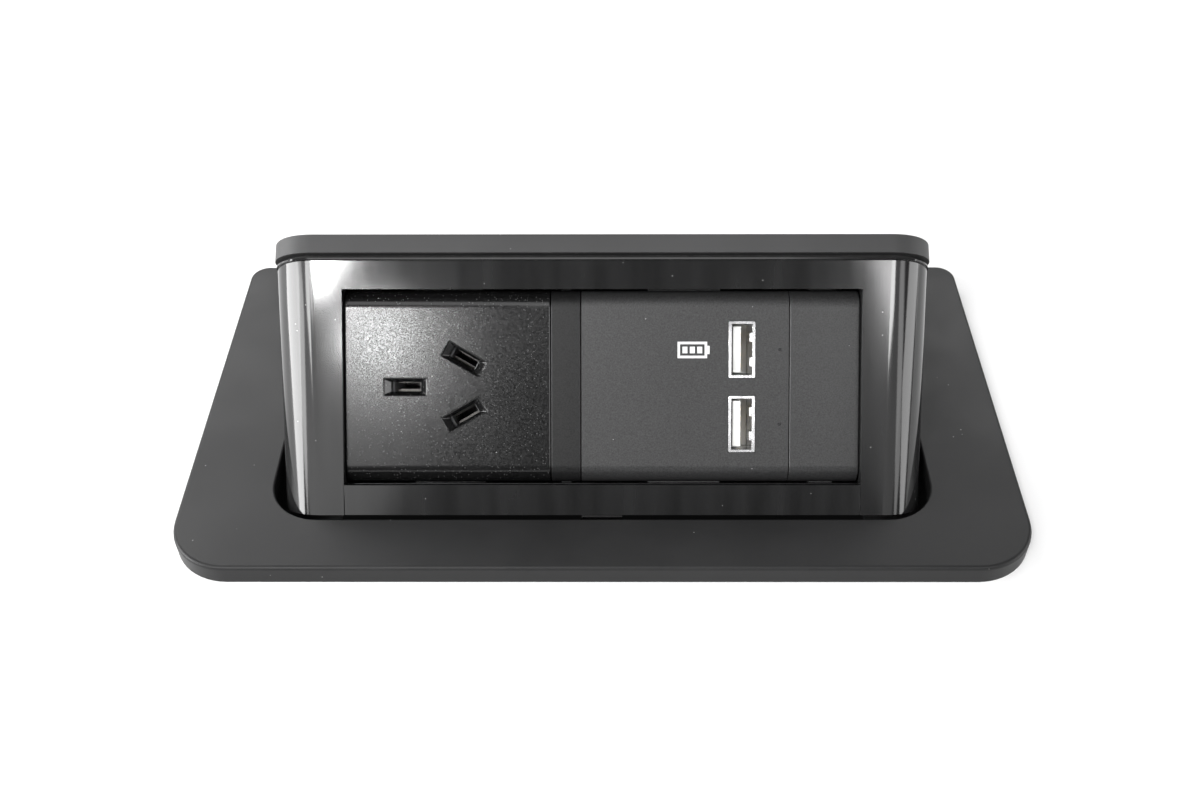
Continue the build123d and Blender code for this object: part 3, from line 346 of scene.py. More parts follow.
def between(tree, factor, low, high, start=0.3, end=0.7):
    """A value that goes from low to high as the factor goes from start to end."""
    inputs = (
        ("Value", factor),
        ("From Min", start),
        ("From Max", end),
        ("To Min", low),
        ("To Max", high),
    )
    return made(tree, "ShaderNodeMapRange", inputs)


def shades(tree, factor, colour, darker, lighter):
    """A colour that follows the factor from darker to lighter."""
    ramp = tree.nodes.new("ShaderNodeValToRGB")
    first, last = ramp.color_ramp.elements
    first.position, last.position = 0.32, 0.68
    first.color = [c * darker for c in colour] + [1]
    last.color = [min(1, c * lighter) for c in colour] + [1]
    tree.links.new(factor, ramp.inputs["Fac"])
    return ramp.outputs["Color"]


def bumped(tree, shader, height, depth, strength=1.0, below=None):
    """Puts a bump on a shader, over another bump's normal if that is given."""
    inputs = [("Height", height), ("Distance", depth), ("Strength", strength)]
    if below is not None:
        inputs.append(("Normal", below))
    normal = made(tree, "ShaderNodeBump", inputs)
    tree.links.new(normal, shader.inputs["Normal"])
    return normal


def set_surface(tree, shader, tone, rough, specular=0.5, others=()):
    """Gives a shader its colour, its roughness and how strongly it mirrors."""
    set_inputs(tree, shader, (("Base Color", tone), ("Roughness", rough), *others))
    shader.inputs["Specular IOR Level"].default_value = specular


def mixed(tree, amount, colour, other):
    """A colour with an amount of another, plain one in it."""
    inputs = ((0, amount), (6, colour), (7, (*other, 1)))
    return add_node(tree, "ShaderNodeMix", inputs, data_type="RGBA").outputs[2]


def worn_edges(tree, colour, worn_colour, width):
    """Lightens the colour where an edge is rubbed."""
    bevel = made(tree, "ShaderNodeBevel", (("Radius", width),))
    normal = add_node(tree, "ShaderNodeNewGeometry").outputs["Normal"]
    inputs = ((0, bevel), (1, normal))
    dot = add_node(tree, "ShaderNodeVectorMath", inputs, operation="DOT_PRODUCT")
    amount = between(tree, dot.outputs["Value"], 0.0, 0.45, start=0.995, end=0.80)
    return mixed(tree, amount, colour, worn_colour)


def flecked(tree, place, colour, spacing, size, share, fleck):
    """Scatters small pale flecks, dust or grains, over a colour."""
    inputs = (("Vector", place), ("Scale", 1 / spacing))
    cells = add_node(tree, "ShaderNodeTexVoronoi", inputs).outputs
    chance = made(tree, "ShaderNodeSeparateColor", ((0, cells["Color"]),))
    near = worked_out(tree, "LESS_THAN", cells["Distance"], size / spacing)
    picked = worked_out(tree, "LESS_THAN", chance, share)
    return mixed(tree, times(tree, near, picked), colour, (fleck, fleck, fleck))


def dusted(tree, place, colour, spacing, share):
    return flecked(tree, place, colour, spacing, SPECK, share, SPECK_TONE)


# Finishes
def moulded_plastic(name, colour, roughness, grain, depth, specular=0.5, wear=0.0, dust=0.0):
    """Moulded plastic: a fine grain, slow changes of tone, rubbed edges and a little dust."""
    material, tree, shader, place = new_material(name)
    fine = noise(tree, place, grain, detail=3.0, roughness=0.6)
    broad = noise(tree, place, 60 * grain, detail=4.0)
    tone = shades(tree, broad, colour, 0.88, 1.14)
    if wear:
        tone = worn_edges(tree, tone, [min(1, c + wear) for c in colour], grain)
    if dust:
        tone = flecked(tree, place, tone, 7 * grain, 0.45 * grain, dust, 0.22)
    rough = between(tree, broad, roughness - 0.04, roughness + 0.05)
    set_surface(tree, shader, tone, rough, specular)
    bumped(tree, shader, fine, depth)
    return material


def gloss_plastic(name, colour):
    """Glossy black plastic with faint flow streaks, fine wipe marks and a soft ripple."""
    material, tree, shader, place = new_material(name)
    streaks = noise(tree, stretched(tree, place, (1.0, 0.14, 0.14)), 5 * MM, detail=4.0)
    wipes = noise(tree, stretched(tree, place, (1.0, 0.05, 0.05)), 0.5 * MM, detail=2.0)
    ripple = noise(tree, place, 14 * MM, detail=1.0)
    tone = dusted(tree, place, shades(tree, streaks, colour, 0.8, 1.35), 2.4 * MM, 0.22)
    rough = between(tree, streaks, 0.086, 0.108)
    set_surface(tree, shader, tone, rough, 0.55)
    low = bumped(tree, shader, ripple, 0.03 * MM, 0.3)
    bumped(tree, shader, wipes, 0.0012 * MM, 0.6, below=low)
    return material


def speckled_plastic(name, colour, grain, roughness, depth, specular=0.5, sparkle=0.0):
    """Spark-eroded plastic: a dense grain of duller and shinier spots; pale flecks painted
    into the colour are partly the plastic's own pale grains and partly painted glints.
    """
    material, tree, shader, place = new_material(name)
    pits = noise(tree, place, grain, detail=3.0, roughness=0.75)
    broad = noise(tree, place, 20 * MM, detail=3.0)
    tone = shades(tree, pits, colour, 0.55, 1.7)
    # Pale flecks painted into the colour: partly the plastic's own pale grains, partly painted
    # glints.
    if sparkle:
        tone = flecked(tree, place, tone, 1.4 * grain, 0.26 * grain, 0.7, sparkle)
    tone = dusted(tree, place, tone, 2.6 * MM, 0.15)
    spots = between(tree, pits, roughness - 0.05, roughness + 0.07)
    rough = times(tree, spots, between(tree, broad, 0.94, 1.06))
    set_surface(tree, shader, tone, rough, specular)
    bumped(tree, shader, pits, depth, 0.8)
    return material


def plated_metal(name, colour, roughness, streak=(1.0, 1.0, 1.0), depth=0.004 * MM):
    """Plated metal with uneven brightness and fine drawing marks."""
    material, tree, shader, place = new_material(name)
    marks = noise(tree, stretched(tree, place, streak), 0.4 * MM, detail=3.0)
    cloud = noise(tree, place, 6 * MM, detail=3.0)
    tone = shades(tree, cloud, colour, 0.80, 1.08)
    rough = between(tree, marks, roughness - 0.06, roughness + 0.08)
    set_surface(tree, shader, tone, rough, others=(("Metallic", 1.0),))
    bumped(tree, shader, marks, depth, 0.6)
    return material


def rubber_finish(name, colour):
    """Dull rubber with a dusty bloom."""
    material, tree, shader, place = new_material(name)
    dust = noise(tree, place, 3 * MM, detail=5.0)
    fine = noise(tree, place, 0.2 * MM, detail=2.0)
    tone, rough = shades(tree, dust, colour, 0.8, 1.9), between(tree, dust, 0.70, 0.88)
    set_surface(tree, shader, tone, rough, 0.3)
    bumped(tree, shader, fine, 0.02 * MM, 0.5)
    return material


def clear_plastic(name):
    """Smoky clear plastic of the light pins."""
    material, tree, shader, place = new_material(name)
    cloud = noise(tree, place, 0.6 * MM)
    tone = shades(tree, cloud, (0.010, 0.010, 0.012), 0.7, 1.5)
    rough = between(tree, cloud, 0.10, 0.18)
    set_surface(tree, shader, tone, rough, others=(("Transmission Weight", 0.15),))
    return material


def circuit_board(name):
    """Green lacquer over copper tracks."""
    material, tree, shader, place = new_material(name)
    inputs = (
        ("Vector", place),
        ("Scale", 260),
        ("Color1", (0.010, 0.085, 0.035, 1)),
        ("Color2", (0.014, 0.115, 0.048, 1)),
        ("Mortar", (0.020, 0.160, 0.070, 1)),
        ("Mortar Size", 0.03),
    )
    tracks = add_node(tree, "ShaderNodeTexBrick", inputs).outputs
    rough = between(tree, noise(tree, place, 4 * MM), 0.24, 0.34)
    set_surface(tree, shader, tracks["Color"], rough)
    bumped(tree, shader, tracks["Fac"], 0.02 * MM, 0.4)
    return material


def wound_tape(name):
    """Yellow tape in overlapping turns."""
    material, tree, shader, place = new_material(name)
    inputs = (("Vector", place), ("Scale", 160), ("Distortion", 0.6))
    turns = add_node(tree, "ShaderNodeTexWave", inputs).outputs["Fac"]
    tone = shades(tree, turns, (0.66, 0.46, 0.07), 0.85, 1.1)
    rough = between(tree, noise(tree, place, 2 * MM), 0.28, 0.42)
    set_surface(tree, shader, tone, rough)
    bumped(tree, shader, turns, 0.03 * MM, 0.4)
    return material


def printed_paint(name):
    """Pale printed paint, a little thin in places."""
    material, tree, shader, place = new_material(name)
    thin = noise(tree, place, 0.5 * MM, detail=4.0)
    tone = shades(tree, thin, (0.80, 0.80, 0.80), 0.86, 1.05)
    rough = between(tree, thin, 0.45, 0.6)
    set_surface(tree, shader, tone, rough)
    bumped(tree, shader, thin, 0.01 * MM, 0.4)
    return material


made_finishes = {}


def finish(name):
    """The finish of that name, made once."""
    if name not in made_finishes:
        paint, grain = colours(), sizes().grain
        moulded, speckled, plated = moulded_plastic, speckled_plastic, plated_metal
        makers = {
            "plate": lambda: moulded(
                "Satin plate plastic", paint.plate, 0.435, grain, 0.010 * MM, 0.24, 0.012, 0.05
            ),
            "lid": lambda: moulded(
                "Satin lid plastic", paint.lid, 0.52, grain, 0.010 * MM, wear=0.012, dust=0.10
            ),
            "gloss": lambda: gloss_plastic("Glossy frame plastic", paint.gloss),
            # The socket's pale flecks are partly its own grains and partly painted glints.
            "socket": lambda: speckled(
                "Socket plastic with pale grains and painted glints",
                paint.socket,
                1.5 * grain,
                0.17,
                0.008 * MM,
                sparkle=0.065,
            ),
            "module": lambda: speckled(
                "Matt module plastic", paint.module, grain, 0.385, 0.006 * MM, 0.45
            ),
            "strip": lambda: speckled(
                "Matt strip plastic", paint.strip, grain, 0.37, 0.006 * MM, 0.25
            ),
            "housing": lambda: moulded(
                "Matt housing plastic", paint.housing, 0.55, 1.5 * grain, 0.03 * MM, wear=0.03
            ),
            "moulding": lambda: moulded(
                "Grey inner plastic", paint.moulding, 0.48, grain, 0.012 * MM
            ),
            "tongue": lambda: moulded(
                "White tongue plastic", (0.86, 0.86, 0.84), 0.38, grain, 0.004 * MM
            ),
            "rubber": lambda: rubber_finish("Black rubber", paint.rubber),
            "zinc": lambda: plated("Zinc plated steel", paint.zinc, 0.34),
            "black_steel": lambda: plated("Blackened steel", paint.black_steel, 0.42),
            "steel": lambda: plated(
                "Bright plated steel", paint.steel, 0.16, (1.0, 0.2, 0.2), 0.002 * MM
            ),
            # Dark contact colour: painted shade inside the slots, not the plating's own tone.
            "contact": lambda: plated(
                "Nickel contact darkened as painted shade", paint.contact, 0.38, (1.0, 0.15, 0.15)
            ),
            "gold": lambda: plated("Gold plated contact", (0.90, 0.66, 0.26), 0.20),
            "can": lambda: plated("Capacitor can", (0.46, 0.50, 0.60), 0.30),
            "clear": lambda: clear_plastic("Smoky light pin"),
            "board": lambda: circuit_board("Circuit board lacquer"),
            "tape": lambda: wound_tape("Transformer tape"),
            "paint": lambda: printed_paint("Printed sign"),
        }
        made_finishes[name] = makers[name]()
    return made_finishes[name]


# Shaping tools
def linked(name, data):
    """A new object in the scene."""
    item = bpy.data.objects.new(name, data)
    bpy.context.scene.collection.objects.link(item)
    return item


def evaluated_mesh(item):
    """A plain mesh of an object as its modifiers leave it."""
    bpy.context.view_layer.update()
    seen = item.evaluated_get(bpy.context.evaluated_depsgraph_get())
    return bpy.data.meshes.new_from_object(seen)


def mesh_from(work, name):
    mesh = bpy.data.meshes.new(name)
    work.to_mesh(mesh)
    work.free()
    return mesh


def smooth_up_to(mesh, angle):
    """Shades a mesh smooth, apart from the edges sharper than the angle."""
    mesh.polygons.foreach_set("use_smooth", [True] * len(mesh.polygons))
    mesh.set_sharp_from_angle(angle=angle)


def body_of(node):
    return frame["nodes"][node]["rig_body"]


def coat(finish_name, *nodes):
    """Gives solids that keep their own mesh a finish."""
    for node in nodes:
        solid = frame["nodes"][node]
        if not solid.material_slots:
            solid.data.materials.append(None)
        for slot in solid.material_slots:
            slot.material = finish(finish_name)


def merged_copy(node):
    """A solid's mesh as one clean surface: doubles merged and flat faces joined."""
    mesh = frame["nodes"][node].data.copy()
    for attribute in [a.name for a in mesh.attributes if a.name == "custom_normal"]:
        mesh.attributes.remove(mesh.attributes[attribute])
    work = bmesh.new()
    work.from_mesh(mesh)
    bmesh.ops.remove_doubles(work, verts=work.verts[:], dist=MERGE_DISTANCE)
    bmesh.ops.dissolve_limit(
        work, angle_limit=FLAT_ANGLE, verts=work.verts[:], edges=work.edges[:]
    )
    work.to_mesh(mesh)
    work.free()
    mesh.materials.clear()
    return mesh


def add_piece(name, mesh, body, finish_name):
    """Links a finished mesh as a piece of the object."""
    piece = linked(name, mesh)
    mesh.materials.clear()
    mesh.materials.append(finish(finish_name))
    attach(piece, body)
    return piece


def cut_away(mesh, cutter):
    """Takes a closed cutter mesh out of a mesh."""
    whole, tool = linked("whole", mesh), linked("tool", cutter)
    cut = whole.modifiers.new("Cut", "BOOLEAN")
    cut.operation = "DIFFERENCE"
    cut.solver = "EXACT"
    cut.object = tool
    result = evaluated_mesh(whole)
    for helper in (whole, tool):
        bpy.data.objects.remove(helper)
    if not result.polygons:
        raise RuntimeError("The cut left nothing")
    return result


def prism(outline, base, height, across, along):
    """A closed prism on an outline of (across, along) pairs."""
    work = bmesh.new()
    corners = [work.verts.new(base + across * u + along * v) for u, v in outline]
    face = work.faces.new(corners)
    top = bmesh.ops.extrude_face_region(work, geom=[face])
    moved = [item for item in top["geom"] if isinstance(item, bmesh.types.BMVert)]
    bmesh.ops.translate(work, vec=height, verts=moved)
    bmesh.ops.recalc_face_normals(work, faces=work.faces[:])
    return mesh_from(work, "prism")


def rounded_piece(node, name, finish_name, width=None, cutter=None):
    """Replaces a solid by its own shape with softly rounded edges."""
    mesh = merged_copy(node)
    if cutter is not None:
        mesh = cut_away(mesh, cutter)
    smooth_up_to(mesh, EDGE_ANGLE)
    piece = add_piece(name, mesh, body_of(node), finish_name)
    bevel = piece.modifiers.new("Rounded edges", "BEVEL")
    bevel.width = sizes().edge_round if width is None else width
    bevel.segments = 2
    bevel.limit_method = "ANGLE"
    bevel.angle_limit = EDGE_ANGLE
    bevel.harden_normals = True
    normals = piece.modifiers.new("Flat faces stay flat", "WEIGHTED_NORMAL")
    normals.keep_sharp = True
    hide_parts(node)


# Geometry Nodes tools
def new_tree(name, floats, counts=()):
    """A tree with a geometry input, named number inputs and a material input, and those."""
    tree = bpy.data.node_groups.new(name, "GeometryNodeTree")
    inputs = [("Geometry", "Geometry")]
    inputs += [(label, "Int") for label in counts]
    inputs += [(label, "Float") for label in floats]
    inputs.append(("Material", "Material"))
    for label, kind in inputs:
        tree.interface.new_socket(label, in_out="INPUT", socket_type="NodeSocket" + kind)
    tree.interface.new_socket("Geometry", in_out="OUTPUT", socket_type="NodeSocketGeometry")
    return tree, tree.nodes.new("NodeGroupInput").outputs


def vector(tree, x=0.0, y=0.0, z=0.0):
    return made(tree, "ShaderNodeCombineXYZ", ((0, x), (1, y), (2, z)))


def lifted(tree, geometry, z):
    """Geometry moved along z."""
    inputs = (("Geometry", geometry), ("Translation", vector(tree, z=z)))
    return made(tree, "GeometryNodeTransform", inputs)


def cylinder(tree, sides, radius, depth, z):
    """A cylinder whose middle lies at a height."""
    inputs = (("Vertices", sides), ("Radius", radius), ("Depth", depth))
    return lifted(tree, made(tree, "GeometryNodeMeshCylinder", inputs), z)


def block(tree, size, z):
    """A block of a size whose middle lies at a height."""
    cube = made(tree, "GeometryNodeMeshCube", (("Size", vector(tree, *size)),))
    return lifted(tree, cube, z)


def joined(tree, parts):
    node = tree.nodes.new("GeometryNodeJoinGeometry")
    for part in parts:
        tree.links.new(part, node.inputs[0])
    return node.outputs[0]


def side_smoothing(tree, geometry):
    """Smooth round the sides, flat on the ends."""
    normal = made(tree, "GeometryNodeInputNormal")
    rise = add_node(tree, "ShaderNodeSeparateXYZ", ((0, normal),)).outputs[2]
    size = made(tree, "ShaderNodeMath", ((0, rise),), operation="ABSOLUTE")
    sides = worked_out(tree, "LESS_THAN", size, 0.6)
    inputs = (("Geometry", geometry), ("Selection", sides))
    return made(tree, "GeometryNodeSetShadeSmooth", inputs)


def end_tree(tree, geometry, material):
    """Closes a tree with realised instances and its material."""
    real = made(tree, "GeometryNodeRealizeInstances", (("Geometry", geometry),))
    inputs = (("Geometry", real), ("Material", material))
    painted = made(tree, "GeometryNodeSetMaterial", inputs)
    add_node(tree, "NodeGroupOutput", ((0, painted),))
    return tree


def grown(tree, start, values, finish_name):
    """Runs a tree on a start mesh and gives back the plain mesh."""
    helper = linked("growing", start)
    modifier = helper.modifiers.new("Tree", "NODES")
    modifier.node_group = tree
    given = {**values, "Material": finish(finish_name)}
    for item in tree.interface.items_tree:
        if item.in_out == "INPUT" and item.name in given:
            modifier[item.identifier] = given[item.name]
    mesh = evaluated_mesh(helper)
    helper.modifiers.remove(modifier)
    bpy.data.objects.remove(helper)
    return mesh


def screw_tree():
    """A cross-recessed pan-head screw on each point, turned by the point's own turn."""
    floats = ("Head radius", "Head height", "Shank radius", "Shank length", "Recess width")
    tree, given = new_tree("Pan head screws", floats)
    radius, height, shank_radius, length, width = (given[label] for label in floats)
    rim_height = times(tree, height, RIM_HEIGHT)
    rim = cylinder(tree, HEAD_SIDES, radius, rim_height, times(tree, rim_height, -0.5))
    inputs = (
        ("Vertices", HEAD_SIDES),
        ("Radius Top", radius),
        ("Radius Bottom", times(tree, radius, CROWN_WIDTH)),
        ("Depth", times(tree, height, 1 - RIM_HEIGHT)),
    )
    crown_z = times(tree, height, -1.0)
    crown = lifted(tree, made(tree, "GeometryNodeMeshCone", inputs), crown_z)
    arm, deep = times(tree, radius, RECESS_REACH), times(tree, height, RECESS_DEPTH)
    arms = ((arm, width, deep), (width, arm, deep))
    cross = joined(tree, [block(tree, size, crown_z) for size in arms])
    crown = made(
        tree, "GeometryNodeMeshBoolean", ((0, crown), (1, cross)), operation="DIFFERENCE"
    )
    shank = cylinder(tree, SHANK_SIDES, shank_radius, length, times(tree, length, 0.5))
    whole = joined(tree, [side_smoothing(tree, part) for part in (rim, crown, shank)])
    turn = made(
        tree, "GeometryNodeInputNamedAttribute", (("Name", "turn"),), data_type="FLOAT_VECTOR"
    )
    rotation = made(tree, "FunctionNodeEulerToRotation", ((0, turn),))
    inputs = (("Points", given["Geometry"]), ("Instance", whole), ("Rotation", rotation))
    placed = made(tree, "GeometryNodeInstanceOnPoints", inputs)
    return end_tree(tree, placed, given["Material"])


def islands(work):
    """The points of each loose part of a bmesh, in a fixed order."""
    left = set(work.verts)
    for first in work.verts:
        if first not in left:
            continue
        left.discard(first)
        points, edge = [], [first]
        while edge:
            vertex = edge.pop()
            points.append(vertex.co.copy())
            for link in vertex.link_edges:
                other = link.other_vert(vertex)
                if other in left:
                    left.discard(other)
                    edge.append(other)
        yield points


def screw_measures(node, way):
    """Seat, head and shank of every screw in a node, along the way that it is driven."""
    work = bmesh.new()
    work.from_mesh(frame["nodes"][node].data)
    bmesh.ops.remove_doubles(work, verts=work.verts[:], dist=MERGE_DISTANCE)
    found = []
    for points in islands(work):
        flat = [p - way * p.dot(way) for p in points]
        centre = Vector([(min(c) + max(c)) / 2 for c in zip(*flat)])
        far = [(f - centre).length for f in flat]
        heights = [p.dot(way) for p in points]
        seat = max(h for h, f in zip(heights, far) if f > 0.9 * max(far))
        shank = [f for h, f in zip(heights, far) if h > seat + MERGE_DISTANCE]
        found.append(
            {
                "seat": centre + way * seat,
                "Head radius": max(far),
                "Head height": seat - min(heights),
                "Shank radius": max(shank),
                "Shank length": max(heights) - seat,
            }
        )
    work.free()
    return found


def replace_screws(tree, node, way):
    """Puts the detailed screws where a node's plain ones are."""
    screws = screw_measures(node, way)
    start = bpy.data.meshes.new("screw places")
    start.from_pydata([screw["seat"] for screw in screws], [], [])
    turns = start.attributes.new("turn", "FLOAT_VECTOR", "POINT")
    base = way.to_track_quat("Z", "Y")
    for index in range(len(screws)):
        spin = Euler((0, 0, FIRST_TURN + NEXT_TURN * index)).to_quaternion()
        turns.data[index].vector = (base @ spin).to_euler()
    values = {**screws[0], "Recess width": screws[0]["Head radius"] * RECESS_WIDTH}
    mesh = grown(tree, start, values, "zinc")
    piece = add_piece(node + "_detail", mesh, body_of(node), "zinc")
    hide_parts(node)


def bolt_tree():
    """A hexagon-head bolt with a helical thread."""
    floats = ("Core radius", "Thread radius", "Pitch", "Length", "Head radius", "Head height")
    tree, given = new_tree("Threaded bolt", floats)
    core, outer, pitch, length, head_radius, head_height = (given[label] for label in floats)
    shank = cylinder(tree, 32, core, length, times(tree, length, 0.5))
    run = worked_out(tree, "SUBTRACT", length, times(tree, pitch, 3.0))
    middle = times(tree, worked_out(tree, "ADD", core, outer), 0.5)
    inputs = (
        ("Resolution", 24),
        ("Rotations", worked_out(tree, "DIVIDE", run, pitch)),
        ("Start Radius", middle),
        ("End Radius", middle),
        ("Height", run),
    )
    spiral = made(tree, "GeometryNodeCurveSpiral", inputs)
    inputs = (("Resolution", 6), ("Radius", worked_out(tree, "SUBTRACT", outer, middle)))
    profile = made(tree, "GeometryNodeCurvePrimitiveCircle", inputs)
    inputs = (("Curve", spiral), ("Profile Curve", profile), ("Fill Caps", True))
    ridge = made(tree, "GeometryNodeCurveToMesh", inputs)
    ridge = lifted(tree, ridge, times(tree, pitch, 2.0))
    head = cylinder(tree, 6, head_radius, head_height, times(tree, head_height, -0.5))
    whole = joined(tree, (side_smoothing(tree, shank), ridge, head))
    return end_tree(tree, whole, given["Material"])


def rib_tree():
    """Ribs that stand round a cap."""
    tree, given = new_tree("Grip ribs", ("Radius", "Width", "Height", "Length"), ("Count",))
    inputs = (("Vertices", given["Count"]), ("Radius", given["Radius"]))
    ring = made(tree, "GeometryNodeMeshCircle", inputs)
    size = vector(tree, given["Height"], given["Width"], given["Length"])
    inputs = (("Size", size), ("Vertices X", 2), ("Vertices Y", 2), ("Vertices Z", 3))
    rib = made(tree, "GeometryNodeMeshCube", inputs)
    inputs = (("Mesh", rib), ("Level", 2), ("Edge Crease", 0.7))
    rib = made(tree, "GeometryNodeSubdivisionSurface", inputs)
    place = made(tree, "GeometryNodeInputPosition")
    turn = made(tree, "FunctionNodeAlignRotationToVector", (("Vector", place),), axis="X")
    inputs = (("Points", ring), ("Instance", rib), ("Rotation", turn))
    placed = made(tree, "GeometryNodeInstanceOnPoints", inputs)
    return end_tree(tree, placed, given["Material"])


def grip_tree():
    """A pad with bars across it, its top at zero."""
    floats = ("Length", "Width", "Thickness", "Bar height")
    tree, given = new_tree("Grip pad", floats, ("Count",))
    length, width, thickness, bar_height = (given[label] for label in floats)
    base_height = worked_out(tree, "SUBTRACT", thickness, times(tree, bar_height, 0.5))
    drop = worked_out(tree, "SUBTRACT", times(tree, base_height, 0.5), thickness)
    base = block(tree, (length, width, base_height), drop)
    step = worked_out(tree, "DIVIDE", length, given["Count"])
    first = times(tree, worked_out(tree, "SUBTRACT", length, step), -0.5)
    inputs = (
        ("Count", given["Count"]),
        ("Start Location", vector(tree, first)),
        ("Offset", vector(tree, step)),
    )
    row = made(tree, "GeometryNodeMeshLine", inputs)
    size = (times(tree, step, BAR_WIDTH), width, bar_height)
    bar = block(tree, size, times(tree, bar_height, -0.5))
    bars = made(tree, "GeometryNodeInstanceOnPoints", (("Points", row), ("Instance", bar)))
    return end_tree(tree, joined(tree, (base, bars)), given["Material"])


# Pieces
class DESKSOCKET_OT_plate(bpy.types.Operator):
    """Finish the desk plate."""

    bl_idname = "desk_socket.plate"
    bl_label = "Desk plate"

    def execute(self, context):
        rounded_piece("desk_plate", "plate_moulding", "plate")
        return {"FINISHED"}


class DESKSOCKET_OT_lid(bpy.types.Operator):
    """Finish the lid and the band below it."""

    bl_idname = "desk_socket.lid"
    bl_label = "Lid and gasket"

    def execute(self, context):
        rounded_piece("lid", "lid_moulding", "lid")
        coat("rubber", "lid_gasket")
        return {"FINISHED"}


class DESKSOCKET_OT_cassette(bpy.types.Operator):
    """Finish the glossy cassette, its lower bar, its rear cover and its inner frame."""

    bl_idname = "desk_socket.cassette"
    bl_label = "Cassette"

    def execute(self, context):
        rebate = self.shadow_gap()
        rounded_piece("cassette_shell", "cassette_moulding", "gloss", cutter=rebate)
        rounded_piece("lower_trim", "lower_bar", "gloss", width=0.08 * MM)
        rounded_piece("rear_cover", "cover_moulding", "housing")
        coat("black_steel", "mounting_frame")
        return {"FINISHED"}

    def shadow_gap(self):
        """The rebate that deepens the gap below the lid, round the front and both sides."""
        up = lid_up()
        along = Vector((0, -up.z, up.y))
        points = points_of("cassette_shell")
        front = max(p.dot(along) for p in points)
        ledge = [p for p in points if p.dot(along) > front - LEVEL_DISTANCE]
        top = max(p.dot(up) for p in ledge)
        half = max(abs(p.x) for p in points if abs(p.dot(up) - top) < LEVEL_DISTANCE)
        radius = half - max(abs(p.x) for p in ledge)
        bend = radius - REBATE_INSET
        back = front - REBATE_LENGTH
        inner = [(half - REBATE_INSET, back)]
        for step in range(ARC_STEPS + 1):
            turn = math.radians(90 * step / ARC_STEPS)
            u, v = bend * math.cos(turn), bend * math.sin(turn)
            inner.append((half - radius + u, front - radius + v))
        inner += [(-u, v) for u, v in reversed(inner)]
        far, ahead = half + OVERSHOOT, front + OVERSHOOT
        outer = [(-far, back), (-far, ahead), (far, ahead), (far, back)]
        base = up * (top - sizes().shadow_gap)
        return prism(inner + outer, base, up * REBATE_ABOVE, ACROSS, along)


class DESKSOCKET_OT_modules(bpy.types.Operator):
    """Finish the module fronts and put the battery sign beside the ports."""

    bl_idname = "desk_socket.modules"
    bl_label = "Module fronts"

    def execute(self, context):
        fronts = {
            "socket_face": "socket",
            "spacer_strip": "strip",
            "usb_face": "module",
            "blank_plate": "module",
        }
        for node, finish_name in fronts.items():
            rounded_piece(node, node + "_moulding", finish_name, width=0.25 * MM)
        coat("clear", "usb_light_pipes")
        self.battery_sign()
        return {"FINISHED"}

    def battery_sign(self):
        """A battery outline with three bars, a hair proud of the face."""
        size = sizes()
        line, proud = size.mark_line, 0.04 * MM
        half_x, half_y = size.mark_width / 2, size.mark_height / 2
        bar = (size.mark_width - 6 * line) / 3
        areas = [
            (-half_x, half_x, half_y - line, half_y),
            (-half_x, half_x, -half_y, line - half_y),
            (-half_x, line - half_x, line - half_y, half_y - line),
            (half_x - line, half_x, line - half_y, half_y - line),
            (half_x, half_x + line, -half_y / 2, half_y / 2),
        ]
        for step in range(3):
            start = -half_x + 2 * line + step * (bar + line)
            areas.append((start, start + bar, 2 * line - half_y, half_y - 2 * line))
        work = bmesh.new()
        for x0, x1, y0, y1 in areas:
            cube = bmesh.ops.create_cube(work, size=1.0)["verts"]
            middle = ((x0 + x1) / 2, (y0 + y1) / 2, proud / 2)
            bmesh.ops.scale(work, vec=(x1 - x0, y1 - y0, proud), verts=cube)
            bmesh.ops.translate(work, vec=middle, verts=cube)
        place = face_matrix("usb_face") @ Matrix.Translation((size.mark_x, size.mark_up, 0))
        bmesh.ops.transform(work, matrix=place, verts=work.verts[:])
        add_piece("battery_sign", mesh_from(work, "battery sign"), "cassette", "paint")


class DESKSOCKET_OT_socket_inside(bpy.types.Operator):
    """Finish the contacts behind the socket's front."""

    bl_idname = "desk_socket.socket_inside"
    bl_label = "Socket contacts"

    def execute(self, context):
        coat("moulding", "socket_base")
        coat("contact", "active_contact", "neutral_contact", "earth_contact")
        return {"FINISHED"}


class DESKSOCKET_OT_charger(bpy.types.Operator):
    """Finish the charging ports and what lies behind them."""

    bl_idname = "desk_socket.charger"
    bl_label = "Charging ports"

    def execute(self, context):
        for side in ("upper", "lower"):
            rounded_piece("usb_shell_" + side, "port_shell_" + side, "steel", width=0.10 * MM)
            coat("tongue", "usb_tongue_" + side)
            coat("gold", "usb_contacts_" + side)
        coat("moulding", "usb_case")
        coat("board", "usb_board")
        coat("tape", "usb_transformer")
        coat("can", "usb_capacitors")
        return {"FINISHED"}


class DESKSOCKET_OT_hinge(bpy.types.Operator):
    """Finish the hinge pins, bushes, clips and spring."""

    bl_idname = "desk_socket.hinge"
    bl_label = "Hinge"

    def execute(self, context):
        for side in ("left", "right"):
            rounded_piece("hinge_pin_" + side, "pin_" + side, "zinc", width=0.3 * MM)
        coat("moulding", "hinge_bushes")
        coat("zinc", "hinge_clips")
        coat("steel", "torsion_spring")
        return {"FINISHED"}


class DESKSOCKET_OT_damper(bpy.types.Operator):
    """Finish the gear sector and the damper."""

    bl_idname = "desk_socket.damper"
    bl_label = "Damper"

    def execute(self, context):
        rounded_piece("damper_body", "damper_case", "moulding", width=0.3 * MM)
        coat("moulding", "gear_sector")
        coat("tongue", "damper_pinion")
        return {"FINISHED"}


class DESKSOCKET_OT_housing(bpy.types.Operator):
    """Finish the housing under the desk."""

    bl_idname = "desk_socket.housing"
    bl_label = "Housing"

    def execute(self, context):
        rounded_piece("housing", "housing_moulding", "housing")
        return {"FINISHED"}


